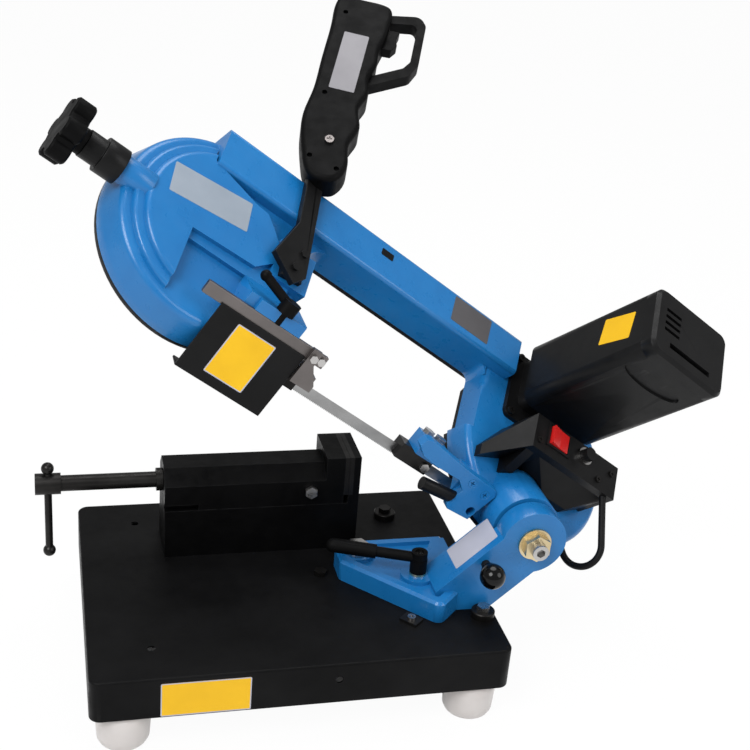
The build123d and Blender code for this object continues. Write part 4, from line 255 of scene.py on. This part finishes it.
def make_materials():
    """All finishes of the saw, by name."""
    black = (BLACK, BLACK_WORN)
    finishes = {}

    def add(name, *values, **options):
        finishes[name] = surface(name, *values, **options)

    # The edge colours of these paints are partly wear and partly a painted edge highlight
    add("blue_paint", (BLUE, BLUE_DEEP), (0.26, 0.38), CAST, worn=EDGE_BLUE_SHEEN_AND_WEAR, settings=PAINT)
    add("tray_paint", black, (0.36, 0.50), POWDER, worn=EDGE_BLACK_SHEEN_AND_WEAR, settings=DEEP)
    add("cover_paint", black, (0.36, 0.50), POWDER, worn=EDGE_BLACK_SHEEN_AND_WEAR, settings=SATIN)
    add("black_iron", (JET, JET_WORN), (0.34, 0.50), CAST, worn=EDGE_BLACK_SHEEN_AND_WEAR, settings=DEEP)
    add("guard_paint", black, (0.36, 0.48), POWDER, worn=EDGE_BLACK_SHEEN_AND_WEAR, settings=SATIN)
    add("black_plastic", black, (0.32, 0.44), MOULDED, settings=SATIN)
    add("black_casting", black, (0.34, 0.46), CAST, settings=SATIN)
    add("ball_plastic", (JET, JET_WORN), (0.10, 0.16), FINE, settings=GLOSS)
    add("grip_plastic", (JET, JET_WORN), (0.46, 0.60), MOULDED, settings=DEEP)
    add("foot_plastic", (MILK, MILK_DULL), (0.30, 0.42), MOULDED, settings=MILKY)
    add("bright_steel", (STEEL, STEEL_DULL), (0.22, 0.40), BRUSHED, 1.0)
    add("dull_steel", (DULL_STEEL, DULL_STEEL_WORN), (0.34, 0.50), BRUSHED, 1.0, ALONG_U)
    add("dark_steel", (DARK_STEEL, DARK_STEEL_WORN), (0.32, 0.46), BRUSHED, 0.8, settings=SATIN)
    add("zinc_yellow", (ZINC, ZINC_DULL), (0.24, 0.36), BRUSHED, 1.0)
    add("wheel_alloy", (ALLOY, ALLOY_DULL), (0.28, 0.42), BRUSHED, 1.0)
    add("gear_steel", (STEEL_DULL, BAND_DULL), (0.28, 0.42), BRUSHED, 1.0)
    add("band_steel", (BAND, BAND_DULL), (0.26, 0.42), BRUSHED, 1.0, ALONG_U)
    add("red_plastic", (RED, RED_DEEP), (0.16, 0.24), FINE)
    add("gland_metal", (STEEL, STEEL_DULL), (0.14, 0.24), FINE, 1.0)
    add("lead_rubber", black, (0.50, 0.64), MOULDED, settings=SATIN)
    add("yellow_film", (YELLOW, YELLOW_DULL), (0.34, 0.46), FINE, settings=FILM)
    add("silver_film", (SILVER, SILVER_DULL), (0.34, 0.46), FINE, settings=FILM)
    add("white_film", (WHITE, WHITE_DULL), (0.34, 0.46), FINE, settings=FILM)
    add("pale_film", (PALE, PALE_DULL), (0.34, 0.46), FINE, settings=FILM)
    add("grey_film", (GREY, GREY_DULL), (0.34, 0.46), FINE, settings=FILM)
    add("black_film", black, (0.26, 0.38), FINE, settings=SATIN)
    return finishes


MATERIALS = make_materials()


def tray_point(x, y):
    """Point over the tray, from mm to the row frame."""
    return PIVOT + Vector((x - PIVOT_X, y, 0)) * MM


def wheel_point(x, y, z):
    """Point of the wheel frame, from mm to the row frame."""
    start = Vector(JOINTS["drive_turn"]["pos_m"])
    return start + (ALONG * (x - DRIVE_X) + RISING * y + FACING * z) * MM


def blade_point(x, depth, height):
    """Point of the blade frame, from mm to the row frame."""
    start = Vector(JOINTS["bar_clamp_turn"]["pos_m"])
    along, back, up = CLAMP_SCREW
    return start + (ALONG * (x - along) + BACK * (depth - back) + BLADE_UP * (height - up)) * MM


def stem_axes():
    """Directions across and along the handle stem."""
    across = ALONG * math.cos(GRIP_LEAN) + RISING * math.sin(GRIP_LEAN)
    return across, FACING.cross(across)


def stem_point(x, y, z):
    """Point of the handle stem, from mm to the row frame."""
    across, along = stem_axes()
    foot_x, foot_y, _ = GRIP_PLACE
    return wheel_point(foot_x, foot_y, z) + (across * x + along * y) * MM


def grip_axes():
    """Directions across, along and out of the grip."""
    across, along = stem_axes()
    turned = across * math.cos(GRIP_TURN) + FACING * math.sin(GRIP_TURN)
    return turned, along, turned.cross(along)


def grip_point(x, y, z):
    """Point of the grip, from mm to the row frame."""
    across, along, out = grip_axes()
    return wheel_point(*GRIP_PLACE) + (across * x + along * y + out * z) * MM


def plate(name, middle, across, normal, size, finish, body, lean=0.0, margin=None):
    """Thin blank plate or film with rounded corners that lies on a face, with a margin in another finish."""
    width, height = size
    across = (Matrix.Rotation(lean, 3, normal) @ across).normalized()
    along = normal.cross(across).normalized()
    corners = []
    for side_x, side_y, start in ((1, 1, 0), (-1, 1, 90), (-1, -1, 180), (1, -1, 270)):
        for step in range(CORNER_STEPS + 1):
            angle = math.radians(start + 90 * step / CORNER_STEPS)
            x = side_x * (width / 2 - PLATE_CORNER) + PLATE_CORNER * math.cos(angle)
            y = side_y * (height / 2 - PLATE_CORNER) + PLATE_CORNER * math.sin(angle)
            corners.append(middle + (across * x + along * y) * MM)
    mesh = bpy.data.meshes.new(name)
    form = bmesh.new()
    face = form.faces.new([form.verts.new(corner - normal * PLATE_SINK * MM) for corner in corners])
    grown = bmesh.ops.extrude_face_region(form, geom=[face])
    raised = [item for item in grown["geom"] if isinstance(item, bmesh.types.BMVert)]
    bmesh.ops.translate(form, verts=raised, vec=normal * (PLATE_SINK + PLATE_RISE) * MM)
    bmesh.ops.recalc_face_normals(form, faces=form.faces)
    if margin is not None:
        front = max(form.faces, key=lambda item: item.normal.dot(normal) * item.calc_area())
        ring = bmesh.ops.inset_region(form, faces=[front], thickness=PLATE_MARGIN * MM)
        for item in ring["faces"]:
            item.material_index = 1
    form.to_mesh(mesh)
    form.free()
    piece = bpy.data.objects.new(name, mesh)
    bpy.context.scene.collection.objects.link(piece)
    mesh.materials.append(MATERIALS[finish])
    mesh.materials.append(MATERIALS[margin or finish])
    edge = piece.modifiers.new("edge", "BEVEL")
    edge.width = PLATE_RISE * MM / 3
    edge.segments = EDGE_SEGMENTS
    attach(piece, body)


def blank_plates():
    """Blank plates and films where the saw has its labels."""
    right = Vector((1, 0, 0))
    low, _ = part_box("base_tray")
    skirt_x, skirt_z = SKIRT_PLATE
    skirt = Vector((low.x + skirt_x * MM, low.y, low.z + skirt_z * MM))
    plate("skirt_plate", skirt, right, -BACK, SKIRT_SIZE, "yellow_film", "base", margin="white_film")
    down = Vector((-math.cos(BEAM_SLOPE), 0, -math.sin(BEAM_SLOPE)))
    out = Vector((-math.sin(BEAM_SLOPE), 0, math.cos(BEAM_SLOPE)))
    beam_down, beam_out, beam_back = BEAM_PLATE
    beam = HINGE + (down * beam_down + out * beam_out + BACK * beam_back) * MM
    plate("beam_plate", beam, -down, out, BEAM_SIZE, "white_film", "arm")
    plate("dome_plate", wheel_point(*DOME_PLATE), ALONG, FACING, DOME_SIZE, "silver_film", "bow", DOME_LEAN)
    plate("tube_plate", wheel_point(*TUBE_PLATE), ALONG, FACING, TUBE_SIZE, "grey_film", "bow")
    plate("tube_badge", wheel_point(*TUBE_BADGE), ALONG, FACING, BADGE_SIZE, "black_film", "bow")
    motor = wheel_point(*MOTOR_PLATE)
    plate("motor_plate", motor, FACING, -ALONG, MOTOR_SIZE, "yellow_film", "bow", MOTOR_LEAN)
    guard = blade_point(*GUARD_PLATE)
    plate("guard_plate", guard, ALONG, -BACK, GUARD_SIZE, "yellow_film", "guide", margin="white_film")
    across, _, out = grip_axes()
    plate("grip_plate", grip_point(*GRIP_PLATE), across, out, GRIP_SIZE, "pale_film", "bow", GRIP_PLATE_LEAN)


def dress_nodes():
    """Gives each CAD node the material of its slot, and a small rounding on its sharp edges."""
    for part in frame["record"]["subparts"]:
        name = part["node"]
        mesh = NODES[name].data
        mesh.materials.clear()
        mesh.materials.append(MATERIALS[NODE_FINISH.get(name, part["material_slot"])])
    for name in ROUNDED:
        weld = NODES[name].modifiers.new("weld", "WELD")
        weld.merge_threshold = WELD
        rounding = NODES[name].modifiers.new("rounding", "BEVEL")
        rounding.width = ROUNDING
        rounding.segments = EDGE_SEGMENTS
        rounding.limit_method = "ANGLE"
        rounding.angle_limit = ROUNDING_ANGLE
        rounding.harden_normals = True


def refinish(name, finish, wanted):
    """Gives the faces of a node that pass a test another finish."""
    mesh = NODES[name].data
    mesh.materials.append(MATERIALS[finish])
    slot = len(mesh.materials) - 1
    for polygon in mesh.polygons:
        if wanted(polygon.center):
            polygon.material_index = slot


def near(places, reach):
    """Test for points within a reach in mm of any of the places."""
    return lambda point: any((point - place).length < reach * MM for place in places)


def refinish_small_pieces():
    """Painted, dull and dark bolts among the bright ones, and the plastic cap of the gland."""
    stem = [stem_point(*place) for place in STEM_BOLTS]
    refinish("bow_bolts", "guard_paint", near(stem, SCREW_REACH))
    bracket = [blade_point(*place) for place in BRACKET_SCREWS]
    refinish("bow_bolts", "blue_paint", near(bracket, SCREW_REACH))
    refinish("bow_bolts", "dull_steel", near([grip_point(*GRIP_SCREW)], SCREW_REACH))
    dark = [tray_point(*place) for place in DARK_BOLTS]
    refinish("base_bolts", "dark_steel", near(dark, BOLT_REACH))
    middle = wheel_point(DRIVE_X, 0, 0)
    refinish("gland", "black_plastic", lambda point: (point - middle).dot(FACING) > GLAND_CAP_Z * MM)


def place_camera():
    """Camera at the place and angle of the photograph."""
    camera = bpy.data.objects.new("camera", bpy.data.cameras.new("camera"))
    bpy.context.scene.collection.objects.link(camera)
    camera.data.lens = CAMERA_LENS
    camera.data.sensor_width = CAMERA_SENSOR
    back = CAMERA_RIGHT.cross(CAMERA_UP)
    turn = Matrix((CAMERA_RIGHT, CAMERA_UP, back)).transposed()
    camera.matrix_world = Matrix.Translation(PIVOT + CAMERA_FROM_PIVOT) @ turn.to_4x4()
    bpy.context.scene.camera = camera


def seen_directly(tree):
    """1 for rays from the camera, a mirror or glass, else 0."""
    path = tree.nodes.new("ShaderNodeLightPath")
    result = path.outputs["Is Camera Ray"]
    for name in ("Is Glossy Ray", "Is Transmission Ray"):
        result = combine(tree, "MAXIMUM", result, path.outputs[name])
    return result


def floor_glow(tree):
    """How much of the floor glows white: all of it but a soft patch hidden under the tray."""
    low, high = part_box("base_tray")
    front = low.y + DARK_FRONT
    place = tree.nodes.new("ShaderNodeTexCoord")
    split = tree.nodes.new("ShaderNodeSeparateXYZ")
    tree.links.new(place.outputs["Object"], split.inputs["Vector"])
    sides = []
    for axis, first, last in (("X", low.x, high.x), ("Y", front, high.y)):
        for edge, inner in ((first, first + DARK_SOFT), (last, last - DARK_SOFT)):
            sides.append(spread(tree, split.outputs[axis], FLOOR_GLOW, 0.0, edge, inner))
    glow = sides[0]
    for side in sides[1:]:
        glow = combine(tree, "MAXIMUM", glow, side)
    return glow


def build_floor():
    """Wide pale floor that keeps the shadow of the saw."""
    mesh = bpy.data.meshes.new("floor")
    half = FLOOR_SIZE / 2
    corners = [(-half, -half, 0), (half, -half, 0), (half, half, 0), (-half, half, 0)]
    mesh.from_pydata(corners, [], [(0, 1, 2, 3)])
    floor = bpy.data.objects.new("floor", mesh)
    bpy.context.scene.collection.objects.link(floor)
    material = bpy.data.materials.new("floor_white")
    material.use_nodes = True
    tree = material.node_tree
    shader = tree.nodes["Principled BSDF"]
    set_inputs(shader, {"Base Color": FLOOR_COLOUR, "Roughness": FLOOR_ROUGHNESS})
    glow = tree.nodes.new("ShaderNodeEmission")
    set_inputs(glow, {"Color": (1, 1, 1, 1), "Strength": 1.0})
    share = combine(tree, "MULTIPLY", seen_directly(tree), floor_glow(tree))
    mix = tree.nodes.new("ShaderNodeMixShader")
    tree.links.new(share, mix.inputs["Fac"])
    tree.links.new(shader.outputs["BSDF"], mix.inputs[1])
    tree.links.new(glow.outputs["Emission"], mix.inputs[2])
    tree.links.new(mix.outputs["Shader"], tree.nodes["Material Output"].inputs["Surface"])
    mesh.materials.append(material)


def build_light():
    """Three large lamps and a pale world."""
    for name, place, size, power in LAMPS:
        lamp = bpy.data.lights.new(name, "AREA")
        lamp.energy = power
        lamp.shape = "DISK"
        lamp.size = size
        holder = bpy.data.objects.new(name, lamp)
        bpy.context.scene.collection.objects.link(holder)
        holder.location = place
        holder.rotation_euler = (LAMP_AIM - holder.location).to_track_quat("-Z", "Y").to_euler()
    world = bpy.data.worlds.new("studio")
    bpy.context.scene.world = world
    world.use_nodes = True
    tree = world.node_tree
    background = tree.nodes["Background"]
    background.inputs["Color"].default_value = (1, 1, 1, 1)
    level = tree.nodes.new("ShaderNodeMapRange")
    set_inputs(level, {"To Min": AMBIENT, "To Max": 1.0})
    path = tree.nodes.new("ShaderNodeLightPath")
    tree.links.new(path.outputs["Is Camera Ray"], level.inputs["Value"])
    tree.links.new(level.outputs["Result"], background.inputs["Strength"])
    bpy.context.scene.view_settings.view_transform = "Standard"


place_camera()
build_light()
build_floor()
dress_nodes()
refinish_small_pieces()
blank_plates()
